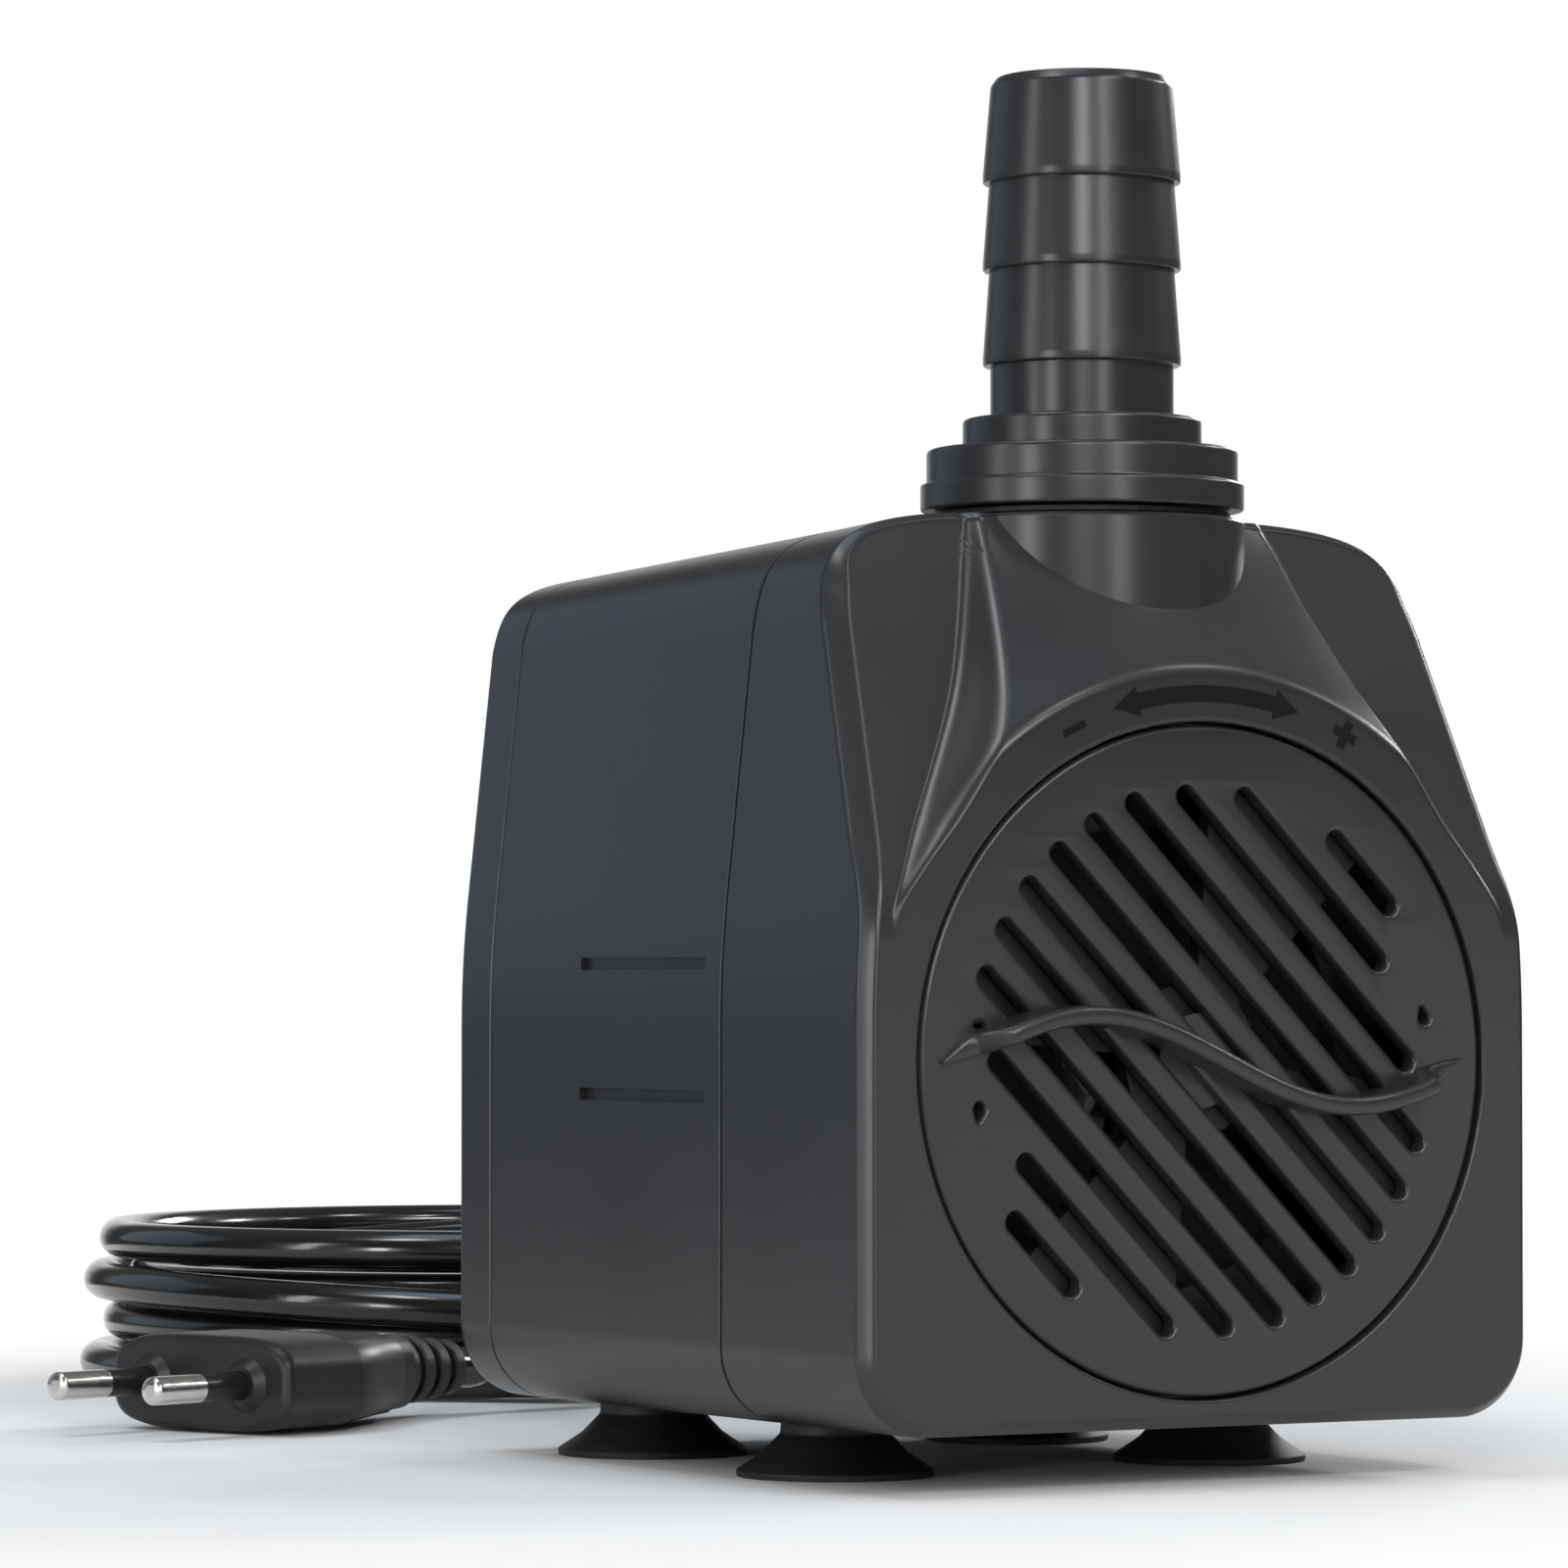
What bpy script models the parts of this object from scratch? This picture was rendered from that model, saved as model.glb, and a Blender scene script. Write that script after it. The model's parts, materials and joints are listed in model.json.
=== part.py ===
"""Fountain submersible pump, modelled as an assembly of separate pieces.

The front faces -Y, +Z is up, and the pump stands on four suction cups at z = 0.
All sizes are in metres, written as millimetres times MM.
"""

import math

import bmesh
import bpy
from mathutils import Matrix, Vector

MM = 0.001

# General clearances
GAP = 0.3 * MM
RUNNING_GAP = 0.4 * MM
OVERCUT = 1.0 * MM

# Body
BODY_WIDTH = 100.8 * MM
BODY_HEIGHT = 115.5 * MM
BODY_LENGTH = 108.0 * MM
FRONT_DEPTH = 35.4 * MM
REAR_DEPTH = 10.5 * MM
REAR_ROUND = 1.5 * MM
FOOT_HEIGHT = 7.5 * MM
WALL = 3.0 * MM
LIP_LENGTH = 2.0 * MM
LEAN_START = 62.0 * MM
SIDE_LEAN = 6.0 * MM
TOP_DROP = 4.0 * MM
LOW_CORNER = 10.0 * MM
TOP_CORNER = 17.0 * MM

# Front face
FACE_BEVEL = 2.2 * MM
FACE_BEVEL_DEPTH = 4.0 * MM
SETBACK = 19.0 * MM
ARCH_RADIUS = 49.7 * MM
ARCH_HALF_ANGLE = 37.0
SADDLE_HALF = 22.0 * MM
POCKET_START = 9.0 * MM

# Flow dial
DIAL_HEIGHT = 46.2 * MM
DIAL_RADIUS = 42.3 * MM
DIAL_THICKNESS = 3.0 * MM
PIVOT_RADIUS = 3.0 * MM
FIN_PROUD = 5.5 * MM
FIN_THICKNESS = 2.0 * MM
FIN_WAVE = 0.135
FIN_REACH = 0.91
FIN_FOOT = 0.6 * MM
FIN_CHAMFER = 0.6 * MM
FIN_RAMP = 0.16
FIN_CREST = 0.7
SLOT_WIDTH = 0.062 * DIAL_RADIUS
SLOT_PITCH = 0.146 * DIAL_RADIUS
SLOT_TIP_CIRCLE = 0.83
SLOT_TILT = -45.0
SHORT_SLOTS = ((3.5, -0.634, 0.547), (4.5, -0.483, 0.264), (5.5, -0.16, 0.17))
DROP_HOLE_RADIUS = 1.3 * MM
DROP_HOLES = ((-0.79, -0.125), (0.80, 0.125), (-0.79, 0.10))
PIVOT_PROUD = 1.2 * MM

# Intake plate and impeller chamber
PLATE_THICKNESS = 2.4 * MM
PLATE_LEDGE = 3.5 * MM
FAN_INNER = 0.236 * DIAL_RADIUS
FAN_OUTER = 0.851 * DIAL_RADIUS
FAN_ANGLE = 50.0
FAN_COUNT = 4
FAN_TURN = 20.0
INTAKE_DEPTH = 15.0 * MM
CHAMBER_WALL_DEPTH = 18.0 * MM
CHAMBER_WALL_HOLE = 30.0 * MM
CHAMBER_RADIUS = 34.3 * MM
CHAMBER_SHELL = 42.3 * MM
COVER_THICKNESS = 2.5 * MM
EYE_INNER = 4.6 * MM
EYE_OUTER = 10.0 * MM
EYE_ANGLE = 92.0

# Rotor on its fixed shaft
SHAFT_RADIUS = 1.5 * MM
SHAFT_CLEARANCE = 0.25 * MM
BUSH_RADIUS = 2.8 * MM
BUSH_LENGTH = 3.6 * MM
IMPELLER_RADIUS = 26.0 * MM
HUB_RADIUS = 6.0 * MM
BLADE_HEIGHT = 7.0 * MM
BLADE_THICKNESS = 1.6 * MM
BLADE_COUNT = 6
DISC_THICKNESS = 1.5 * MM
SLEEVE_RADIUS = 4.0 * MM
MAGNET_RADIUS = 10.6 * MM
MAGNET_LENGTH = 46.0 * MM
WELL_WALL = 1.8 * MM
REAR_BUSH_THICKNESS = 1.8 * MM
FLANGE_DEPTH = 4.0 * MM
SEAL_SECTION = 2.1 * MM
BLADE_CLEARANCE = 1.2 * MM
MAGNET_CLEARANCE = 0.8 * MM
MAGNET_INSET = 1.5 * MM
SLEEVE_TAIL = 1.0 * MM
SHAFT_PROUD = 1.0 * MM

# Stator
CORE_LENGTH = 28.0 * MM
CORE_CLEARANCE = 1.5 * MM
LEG_INNER = 11.0 * MM
LEG_WIDTH = 12.0 * MM
LEG_LOW = 15.0 * MM
YOKE_HEIGHT = 11.0 * MM
BOBBIN_HEIGHT = 29.0 * MM
BOBBIN_WALL = 1.2 * MM
BOBBIN_CLEARANCE = 2.8 * MM
BOBBIN_RIM = 1.0 * MM
WINDING_DEPTH = 5.0 * MM

# Outlet
NECK_DEPTH = 29.0 * MM
NECK_RADIUS = 20.0 * MM
NECK_LOW = 98.0 * MM
NECK_TOP = 115.9 * MM
SOCKET_RADIUS = 12.2 * MM
SOCKET_DEPTH = 14.0 * MM
DUCT_WIDTH = 18.0 * MM
DUCT_DEPTH = 12.0 * MM
NOZZLE_BORE = 9.3 * MM
SPIGOT_LENGTH = 11.0 * MM
SEAL_THICKNESS = 0.6 * MM
SEAL_MARGIN = 0.8 * MM
COLLAR_RADII = (20.7 * MM, 19.8 * MM, 15.1 * MM)
COLLAR_HEIGHTS = (2.8 * MM, 4.4 * MM, 4.1 * MM)
COLLAR_CHAMFER = 0.5 * MM
PIPE_RADIUS = 11.9 * MM
PIPE_HEIGHT = 6.8 * MM
BARB_WIDE = 12.85 * MM
BARB_NARROW = 11.9 * MM
BARB_HEIGHT = 11.8 * MM
BARB_COUNT = 3
BARB_BAND = 0.8 * MM
TIP_HEIGHT = 3.0 * MM
LIP_RADIUS = 1.0 * MM

# Suction cups
CUP_RADIUS = 12.8 * MM
CUP_TOP_RADIUS = 6.6 * MM
CUP_RIM = 0.9 * MM
CUP_RIM_WIDTH = 1.2 * MM
CUP_SHOULDER = 0.8 * MM
CUP_HOLLOW = 3.0 * MM
CUP_SPREAD = 58.0 * MM
CUP_INSET = 0.5 * MM
STEM_RADIUS = 2.7 * MM
BUTTON_RADIUS = 3.8 * MM
BUTTON_HEIGHT = 2.2 * MM

# Side grooves on the motor housing
GROOVE_LENGTH = 33.0 * MM
GROOVE_WIDTH = 1.6 * MM
GROOVE_DEPTH = 1.0 * MM
GROOVE_SPACING = 17.0 * MM
GROOVE_HEIGHT = 50.0 * MM
GROOVE_START = 4.0 * MM

# Cord, gland and plug
CORD_DIAMETER = 6.0 * MM
GLAND_X = 28.0 * MM
GLAND_HEIGHT = 12.1 * MM
GLAND_RADIUS = 4.6 * MM
GLAND_COLLAR = 6.4 * MM
GLAND_LENGTH = 36.0 * MM
GLAND_FLANGE = 2.0 * MM
GLAND_COLLAR_LENGTH = 4.0 * MM
GLAND_CHAMFER = 0.9 * MM
GLAND_TIP_WALL = 0.9 * MM
COIL_CENTRE = (40.0 * MM, 210.75 * MM)
COIL_RADIUS = 67.0 * MM
COIL_LAYERS = 4
COIL_STEP = 6.7 * MM
COIL_LAYER_HEIGHT = 6.5 * MM
COIL_START_ANGLE = -140.0
COIL_END_ANGLE = -75.0
COIL_WHOLE_TURNS = 5
COIL_POINTS_PER_TURN = 24
CORD_LIFT = 0.15 * MM
PLUG_HEADING = 200.0
PLUG_HALF_WIDTH = 17.6 * MM
PLUG_HALF_THICKNESS = 6.8 * MM
PLUG_HEAD_LENGTH = 16.0 * MM
PLUG_TAPER_LENGTH = 21.0 * MM
RELIEF_LENGTH = 15.0 * MM
RELIEF_RIBS = 4
RELIEF_WALL = 1.0 * MM
RELIEF_GROW = 0.4 * MM
RELIEF_GROOVE = 0.9 * MM
PLUG_NECK_LENGTH = 4.0 * MM
PLUG_STEP_LENGTH = 3.0 * MM
PLUG_CHAMFER = 1.0 * MM
PIN_RADIUS = 2.0 * MM
PIN_LENGTH = 19.0 * MM
PIN_ROOT = 6.0 * MM
PIN_SPACING = 18.6 * MM
PIN_TIP = 0.8 * MM

# Free cord, points chosen by hand, in metres
LEAD_ROUTE = (
    (0.0280, 0.0934, 0.0196),
    (0.0280, 0.1030, 0.0193),
    (0.0271, 0.1140, 0.0168),
    (0.0237, 0.1260, 0.0112),
    (0.0177, 0.1380, 0.0061),
    (0.0093, 0.1490, 0.0037),
)
TAIL_ROUTE = (
    (0.0360, 0.1406, 0.0215),
    (0.0220, 0.1370, 0.0187),
    (0.0080, 0.1333, 0.0143),
    (-0.0030, 0.1303, 0.0103),
)
PLUG_ENTRY = (-0.0150, 0.1266, 0.0071)

# Derived places
FRONT_Y = (FIN_PROUD - BODY_LENGTH) / 2
BODY_Z = FOOT_HEIGHT
DIAL_Z = BODY_Z + DIAL_HEIGHT
LEAN_Z = BODY_Z + LEAN_START
TOP_Z = BODY_Z + BODY_HEIGHT
MOTOR_START = FRONT_DEPTH + GAP
MOTOR_END = BODY_LENGTH - REAR_DEPTH
REAR_START = MOTOR_END + GAP
CUP_FRONT_DEPTH = MOTOR_START + WALL + BUTTON_RADIUS + CUP_INSET
CUP_REAR_DEPTH = MOTOR_END - LIP_LENGTH - BUTTON_RADIUS - CUP_INSET
DIAL_START = GAP
PLATE_START = DIAL_START + DIAL_THICKNESS + GAP
RECESS_DEPTH = PLATE_START + PLATE_THICKNESS + GAP
COVER_START = CHAMBER_WALL_DEPTH + GAP
BLADE_START = COVER_START + COVER_THICKNESS + BLADE_CLEARANCE
DISC_START = BLADE_START + BLADE_HEIGHT
FLANGE_START = MOTOR_START - FLANGE_DEPTH
WELL_RADIUS = MAGNET_RADIUS + MAGNET_CLEARANCE
MAGNET_START = MOTOR_START + MAGNET_INSET
SLEEVE_END = MAGNET_START + MAGNET_LENGTH + SLEEVE_TAIL
REAR_BUSH_START = SLEEVE_END + RUNNING_GAP
WELL_END = REAR_BUSH_START + REAR_BUSH_THICKNESS + GAP
SHAFT_START = COVER_START - SHAFT_PROUD
NECK_TOP_Z = BODY_Z + NECK_TOP
SEAL_Z = NECK_TOP_Z + GAP
COLLAR_Z = SEAL_Z + SEAL_THICKNESS + GAP
LEG_CENTRE = LEG_INNER + LEG_WIDTH / 2
CORE_START = NECK_DEPTH + NECK_RADIUS + WALL + CORE_CLEARANCE
BOBBIN_Z = DIAL_Z + WELL_RADIUS + WELL_WALL + BOBBIN_CLEARANCE
YOKE_Z = BOBBIN_Z + BOBBIN_HEIGHT + GAP
CORD_RADIUS = CORD_DIAMETER / 2
CORD_FLOOR = CORD_RADIUS + CORD_LIFT
GLAND_Z = BODY_Z + GLAND_HEIGHT

DIAL_STEPS = 64
ROUND_STEPS = 32
SMALL_STEPS = 16
FOOT_STEPS = 20
PLUG_STEPS = 18


def clear_scene():
    """Remove everything the file opened with."""
    for item in list(bpy.data.objects):
        bpy.data.objects.remove(item, do_unlink=True)


def collection(name):
    """Make a collection in the scene."""
    made = bpy.data.collections.new(name)
    bpy.context.scene.collection.children.link(made)
    return made


def material(name, colour, roughness, metallic=0.0):
    """A Principled material of one colour."""
    made = bpy.data.materials.new(name)
    made.use_nodes = True
    shader = made.node_tree.nodes["Principled BSDF"]
    shader.inputs["Base Color"].default_value = (*colour, 1.0)
    shader.inputs["Roughness"].default_value = roughness
    shader.inputs["Metallic"].default_value = metallic
    made.diffuse_color = (*colour, 1.0)
    return made


clear_scene()
PARTS = collection("fountain_pump")
CUTTERS = collection("cutters")
HOUSING = material("housing_grey", (0.050, 0.051, 0.055), 0.45)
RUBBER = material("rubber_black", (0.012, 0.012, 0.013), 0.6)
CORD_SKIN = material("cord_black", (0.010, 0.010, 0.011), 0.25)
WHITE_PLASTIC = material("rotor_white", (0.75, 0.75, 0.72), 0.4)
FERRITE = material("magnet_ferrite", (0.06, 0.058, 0.055), 0.5)
CERAMIC = material("shaft_ceramic", (0.85, 0.84, 0.80), 0.2)
STEEL = material("core_steel", (0.42, 0.42, 0.43), 0.4, 1.0)
COPPER = material("winding_copper", (0.72, 0.34, 0.16), 0.35, 1.0)
NICKEL = material("pin_nickel", (0.66, 0.65, 0.62), 0.25, 1.0)


def depth(distance):
    """World y at a distance behind the front face."""
    return FRONT_Y + distance


def add(name, data, skin, place=(0, 0, 0), turn=(0, 0, 0)):
    """Put a piece in the parts collection."""
    item = bpy.data.objects.new(name, data)
    item.location = place
    item.rotation_euler = turn
    data.materials.append(skin)
    PARTS.objects.link(item)
    return item


def as_cutter(item):
    """Move an object to the cutters, so that it only shapes others."""
    for owner in list(item.users_collection):
        owner.objects.unlink(item)
    CUTTERS.objects.link(item)
    item.hide_render = True
    item.display_type = "WIRE"
    return item


def boolean(target, other, operation):
    """Shape a target by another object, which becomes a cutter."""
    step = target.modifiers.new(operation.lower(), "BOOLEAN")
    step.operation = operation
    step.solver = "EXACT"
    step.object = as_cutter(other)
    return target


def cut(target, other):
    """Take another object's space out of a target."""
    return boolean(target, other, "DIFFERENCE")


def join(target, other):
    """Fuse another object with a target."""
    return boolean(target, other, "UNION")


def arc(centre_x, centre_z, radius, start, end, count):
    """Points of an arc with both ends, angles in degrees."""
    points = []
    for index in range(count):
        angle = math.radians(start + (end - start) * index / (count - 1))
        points.append((centre_x + radius * math.cos(angle), centre_z + radius * math.sin(angle)))
    return points


def circle(radius, count=ROUND_STEPS):
    """Points of a full circle round the origin."""
    return arc(0, 0, radius, 0, 360 * (count - 1) / count, count)


def lathe(name, profile, skin, place, along_depth=False, steps=ROUND_STEPS):
    """A turned piece. The profile's (radius, height) points run down the outer side."""
    mesh = bpy.data.meshes.new(name)
    vertices = [(radius, 0, height) for radius, height in profile]
    edges = [(index, index + 1) for index in range(len(profile) - 1)]
    if profile[0][0] > 0 or profile[-1][0] > 0:
        edges.append((len(profile) - 1, 0))
    mesh.from_pydata(vertices, edges, [])
    turn = (-math.pi / 2, 0, 0) if along_depth else (0, 0, 0)
    item = add(name, mesh, skin, place, turn)
    spin = item.modifiers.new("spin", "SCREW")
    spin.steps = steps
    spin.render_steps = steps
    spin.use_merge_vertices = True
    spin.merge_threshold = 0.000001
    spin.use_smooth_shade = True
    return item


def cylinder(name, radius, start, end, skin, centre=(0, 0), along_depth=True, steps=ROUND_STEPS):
    """A rod along y, between two depths at (x, z), or upright between two heights at (x, y)."""
    shape = bmesh.new()
    size = {"radius1": radius, "radius2": radius, "depth": end - start}
    bmesh.ops.create_cone(shape, cap_ends=True, segments=steps, **size)
    mesh = bpy.data.meshes.new(name)
    shape.to_mesh(mesh)
    shape.free()
    middle = (start + end) / 2
    if along_depth:
        return add(name, mesh, skin, (centre[0], depth(middle), centre[1]), (math.pi / 2, 0, 0))
    return add(name, mesh, skin, (centre[0], centre[1], middle))


def box(name, low, high, skin):
    """A block between two corners."""
    shape = bmesh.new()
    bmesh.ops.create_cube(shape, size=1.0)
    size = Vector(high) - Vector(low)
    middle = (Vector(high) + Vector(low)) / 2
    bmesh.ops.scale(shape, vec=size, verts=shape.verts)
    mesh = bpy.data.meshes.new(name)
    shape.to_mesh(mesh)
    shape.free()
    return add(name, mesh, skin, middle)


def mesh_of(curve_item):
    """Turn a curve object into a welded mesh object of the same name."""
    bpy.context.view_layer.update()
    graph = bpy.context.evaluated_depsgraph_get()
    mesh = bpy.data.meshes.new_from_object(curve_item.evaluated_get(graph))
    shape = bmesh.new()
    shape.from_mesh(mesh)
    bmesh.ops.remove_doubles(shape, verts=shape.verts, dist=0.000001)
    shape.to_mesh(mesh)
    shape.free()
    name = curve_item.name
    place = curve_item.matrix_world.copy()
    bpy.data.objects.remove(curve_item, do_unlink=True)
    item = bpy.data.objects.new(name, mesh)
    item.matrix_world = place
    PARTS.objects.link(item)
    return item


def plate(name, loops, start, end, skin, centre=(0, 0)):
    """A flat piece between two depths, from outlines in x and z; inner loops are holes."""
    curve = bpy.data.curves.new(name, "CURVE")
    curve.dimensions = "2D"
    curve.fill_mode = "BOTH"
    curve.extrude = (end - start) / 2
    for loop in loops:
        spline = curve.splines.new("POLY")
        spline.points.add(len(loop) - 1)
        for point, (x, z) in zip(spline.points, loop):
            point.co = (x, z, 0, 1)
        spline.use_cyclic_u = True
    place = (centre[0], depth((start + end) / 2), centre[1])
    return mesh_of(add(name, curve, skin, place, (math.pi / 2, 0, 0)))


def loft(name, rings, skin, place=Matrix.Identity(4)):
    """A closed skin over rings of points; points that coincide are shared."""
    shape = bmesh.new()
    known = {}

    def vertex(point):
        key = tuple(round(value * 1e7) for value in point)
        if key not in known:
            known[key] = shape.verts.new(point)
        return known[key]

    def face(points):
        corners = []
        for point in points:
            corner = vertex(point)
            if corner not in corners:
                corners.append(corner)
        if len(corners) > 2:
            shape.faces.new(corners)

    for ring, following in zip(rings, rings[1:]):
        count = len(ring)
        for index in range(count):
            after = (index + 1) % count
            face((ring[index], ring[after], following[after], following[index]))
    face(rings[0])
    face(rings[-1])
    bmesh.ops.recalc_face_normals(shape, faces=shape.faces)
    quads = [each for each in shape.faces if len(each.verts) == 4]
    bmesh.ops.triangulate(shape, faces=quads)
    mesh = bpy.data.meshes.new(name)
    shape.to_mesh(mesh)
    shape.free()
    item = add(name, mesh, skin)
    item.matrix_world = place
    return item


def top_at(distance):
    """Height of the body's top at a distance behind the face; it falls towards the back."""
    behind = max(0.0, distance - SETBACK)
    return TOP_Z - TOP_DROP * behind / (BODY_LENGTH - SETBACK)


def half_outline(inset, top):
    """Right half of the body's outline from underside to top."""
    half = BODY_WIDTH / 2 - inset
    low = BODY_Z + inset
    high = top - inset
    low_corner = LOW_CORNER - inset
    top_corner = TOP_CORNER - inset
    shoulder = half - SIDE_LEAN
    points = arc(half - low_corner, low + low_corner, low_corner, -90, 0, 6)
    points.append((half, LEAN_Z))
    points.extend(arc(shoulder - top_corner, high - top_corner, top_corner, 0, 90, 7))
    return points


def mirrored(points):
    """A whole ring from its right half."""
    left = [(-point[0], *point[1:]) for point in reversed(points)]
    return points + left


def section(inset, distance):
    """The body's outline as a ring of points at a distance behind the face."""
    outline = mirrored(half_outline(inset, top_at(distance)))
    return [(x, depth(distance), z) for x, z in outline]


def edge_depth(z):
    """How far behind the face the body's front edge runs at a height."""
    rise = max(0.0, z - LEAN_Z) / (TOP_Z - LEAN_Z)
    return FACE_BEVEL_DEPTH + (SETBACK - FACE_BEVEL_DEPTH) * rise


def front_columns():
    """Pairs of points on the face's outline and on the body's outline, for the right half."""
    outline = half_outline(0, TOP_Z)
    face_half = BODY_WIDTH / 2 - FACE_BEVEL
    corner = LOW_CORNER - FACE_BEVEL
    low = BODY_Z + FACE_BEVEL
    pairs = list(zip(arc(face_half - corner, low + corner, corner, -90, 0, 6), outline))
    junction = (face_half, LEAN_Z)
    for point in outline[6:]:
        pairs.append((junction, point))
    pairs.append((junction, (SADDLE_HALF, TOP_Z)))
    steps = 8
    for index in range(steps):
        share = index / steps
        angle = math.radians(ARCH_HALF_ANGLE * (1 - share))
        on_arch = (ARCH_RADIUS * math.sin(angle), DIAL_Z + ARCH_RADIUS * math.cos(angle))
        pairs.append((on_arch, (SADDLE_HALF * (1 - share), TOP_Z)))
    return pairs


def front_shell():
    """The front housing's outer form, from the flat face back to the seam."""
    pairs = front_columns()
    crown = ((0, DIAL_Z + ARCH_RADIUS), (0, TOP_Z))
    left = [((-f[0], f[1]), (-s[0], s[1])) for f, s in reversed(pairs)]
    around = pairs + [crown] + left
    face = [(f[0], depth(0), f[1]) for f, s in around]
    edge = [(s[0], depth(edge_depth(s[1])), s[1]) for f, s in around]
    drop = TOP_Z - top_at(FRONT_DEPTH)
    seam = []
    for f, s in around:
        share = max(0.0, s[1] - LEAN_Z) / (TOP_Z - LEAN_Z)
        seam.append((s[0], depth(FRONT_DEPTH), s[1] - drop * share))
    return loft("front_housing", [face, edge, seam], HOUSING)


def front_pocket():
    """The hollow in the front housing round the chamber, open at the seam."""
    outline = mirrored(half_outline(WALL, TOP_Z - TOP_DROP / 2))
    near = [(x, depth(edge_depth(z) + POCKET_START), z) for x, z in outline]
    far = [(x, depth(FRONT_DEPTH + OVERCUT), z) for x, z in outline]
    pocket = loft("front_pocket", [near, far], HOUSING)
    cut(pocket, cylinder("chamber_shell", CHAMBER_SHELL, 0, BODY_LENGTH, HOUSING, (0, DIAL_Z)))
    half = DUCT_WIDTH / 2 + WALL
    duct_low = (-half, depth(0), DIAL_Z)
    duct_high = (half, depth(BODY_LENGTH), TOP_Z + WALL)
    cut(pocket, box("duct_shell", duct_low, duct_high, HOUSING))
    socket_low = NECK_TOP_Z - SOCKET_DEPTH - WALL
    axis = (0, depth(NECK_DEPTH))
    shell = SOCKET_RADIUS + WALL
    cut(pocket, cylinder("socket_shell", shell, socket_low, NECK_TOP_Z + WALL, HOUSING, axis, False))
    return pocket


def build_front_housing():
    """Intake housing with dial recess, impeller chamber, duct and outlet neck."""
    body = front_shell()
    axis = (0, depth(NECK_DEPTH))
    dial_axis = (0, DIAL_Z)
    join(body, cylinder("neck", NECK_RADIUS, BODY_Z + NECK_LOW, NECK_TOP_Z, HOUSING, axis, False))
    recess = DIAL_RADIUS + RUNNING_GAP
    cut(body, front_pocket())
    cut(body, cylinder("dial_recess", recess, -OVERCUT, RECESS_DEPTH, HOUSING, dial_axis, steps=DIAL_STEPS))
    intake = recess - PLATE_LEDGE
    cut(body, cylinder("intake_space", intake, 0, INTAKE_DEPTH, HOUSING, dial_axis))
    cut(body, cylinder("wall_hole", CHAMBER_WALL_HOLE, 0, FRONT_DEPTH, HOUSING, dial_axis))
    end = FRONT_DEPTH + OVERCUT
    cut(body, cylinder("chamber", CHAMBER_RADIUS, CHAMBER_WALL_DEPTH, end, HOUSING, dial_axis))
    duct_far = FRONT_DEPTH - WALL
    half = DUCT_WIDTH / 2
    duct_low = (-half, depth(duct_far - DUCT_DEPTH), DIAL_Z)
    duct_high = (half, depth(duct_far), NECK_TOP_Z - SOCKET_DEPTH + OVERCUT)
    cut(body, box("duct", duct_low, duct_high, HOUSING))
    socket_low = NECK_TOP_Z - SOCKET_DEPTH
    cut(body, cylinder("socket", SOCKET_RADIUS, socket_low, NECK_TOP_Z + OVERCUT, HOUSING, axis, False))
    return body


def slot_spans():
    """Offset, start and end of each slot, across and along the slots' direction."""
    spans = []
    tip = SLOT_TIP_CIRCLE * DIAL_RADIUS
    for row in range(3):
        offset = (row + 0.5) * SLOT_PITCH
        reach = math.sqrt(tip * tip - offset * offset)
        spans.append((offset, -reach, reach))
    for row, start, end in SHORT_SLOTS:
        spans.append((row * SLOT_PITCH, start * DIAL_RADIUS, end * DIAL_RADIUS))
    opposite = [(-offset, -end, -start) for offset, start, end in spans]
    return spans + opposite


def slot_loops():
    """Outlines of the dial's slots, turned to their slant."""
    loops = []
    slant = Matrix.Rotation(math.radians(SLOT_TILT), 2)
    radius = SLOT_WIDTH / 2
    for offset, start, end in slot_spans():
        flat = arc(end - radius, offset, radius, -90, 90, 6)
        flat += arc(start + radius, offset, radius, 90, 270, 6)
        loops.append([tuple(slant @ Vector(point)) for point in flat])
    return loops


def fin_line(share):
    """Centre and height of the wavy fin, from one end to the other."""
    reach = FIN_REACH * DIAL_RADIUS
    x = -reach + 2 * reach * share
    z = -FIN_WAVE * DIAL_RADIUS * math.sin(math.pi * x / reach)
    ramp = min(1.0, (1 - abs(2 * share - 1)) / FIN_RAMP)
    height = FIN_FOOT + (FIN_PROUD - FIN_FOOT) * math.sin(ramp * math.pi / 2)
    return x, z, height


def build_fin():
    """The S-shaped grip on the dial."""
    steps = 28
    rings = []
    for index in range(steps + 1):
        share = index / steps
        x, z, height = fin_line(share)
        before = fin_line(max(0.0, share - 0.01))
        after = fin_line(min(1.0, share + 0.01))
        along = Vector((after[0] - before[0], after[1] - before[1])).normalized()
        side = Vector((-along.y, along.x)) * FIN_THICKNESS / 2
        crest = side * FIN_CREST
        root = DIAL_START + DIAL_THICKNESS / 2
        rings.append([
            (x + side.x, depth(root), DIAL_Z + z + side.y),
            (x + side.x, depth(DIAL_START - height + FIN_CHAMFER), DIAL_Z + z + side.y),
            (x + crest.x, depth(-height), DIAL_Z + z + crest.y),
            (x - crest.x, depth(-height), DIAL_Z + z - crest.y),
            (x - side.x, depth(DIAL_START - height + FIN_CHAMFER), DIAL_Z + z - side.y),
            (x - side.x, depth(root), DIAL_Z + z - side.y),
        ])
    return loft("fin", rings, HOUSING)


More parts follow.
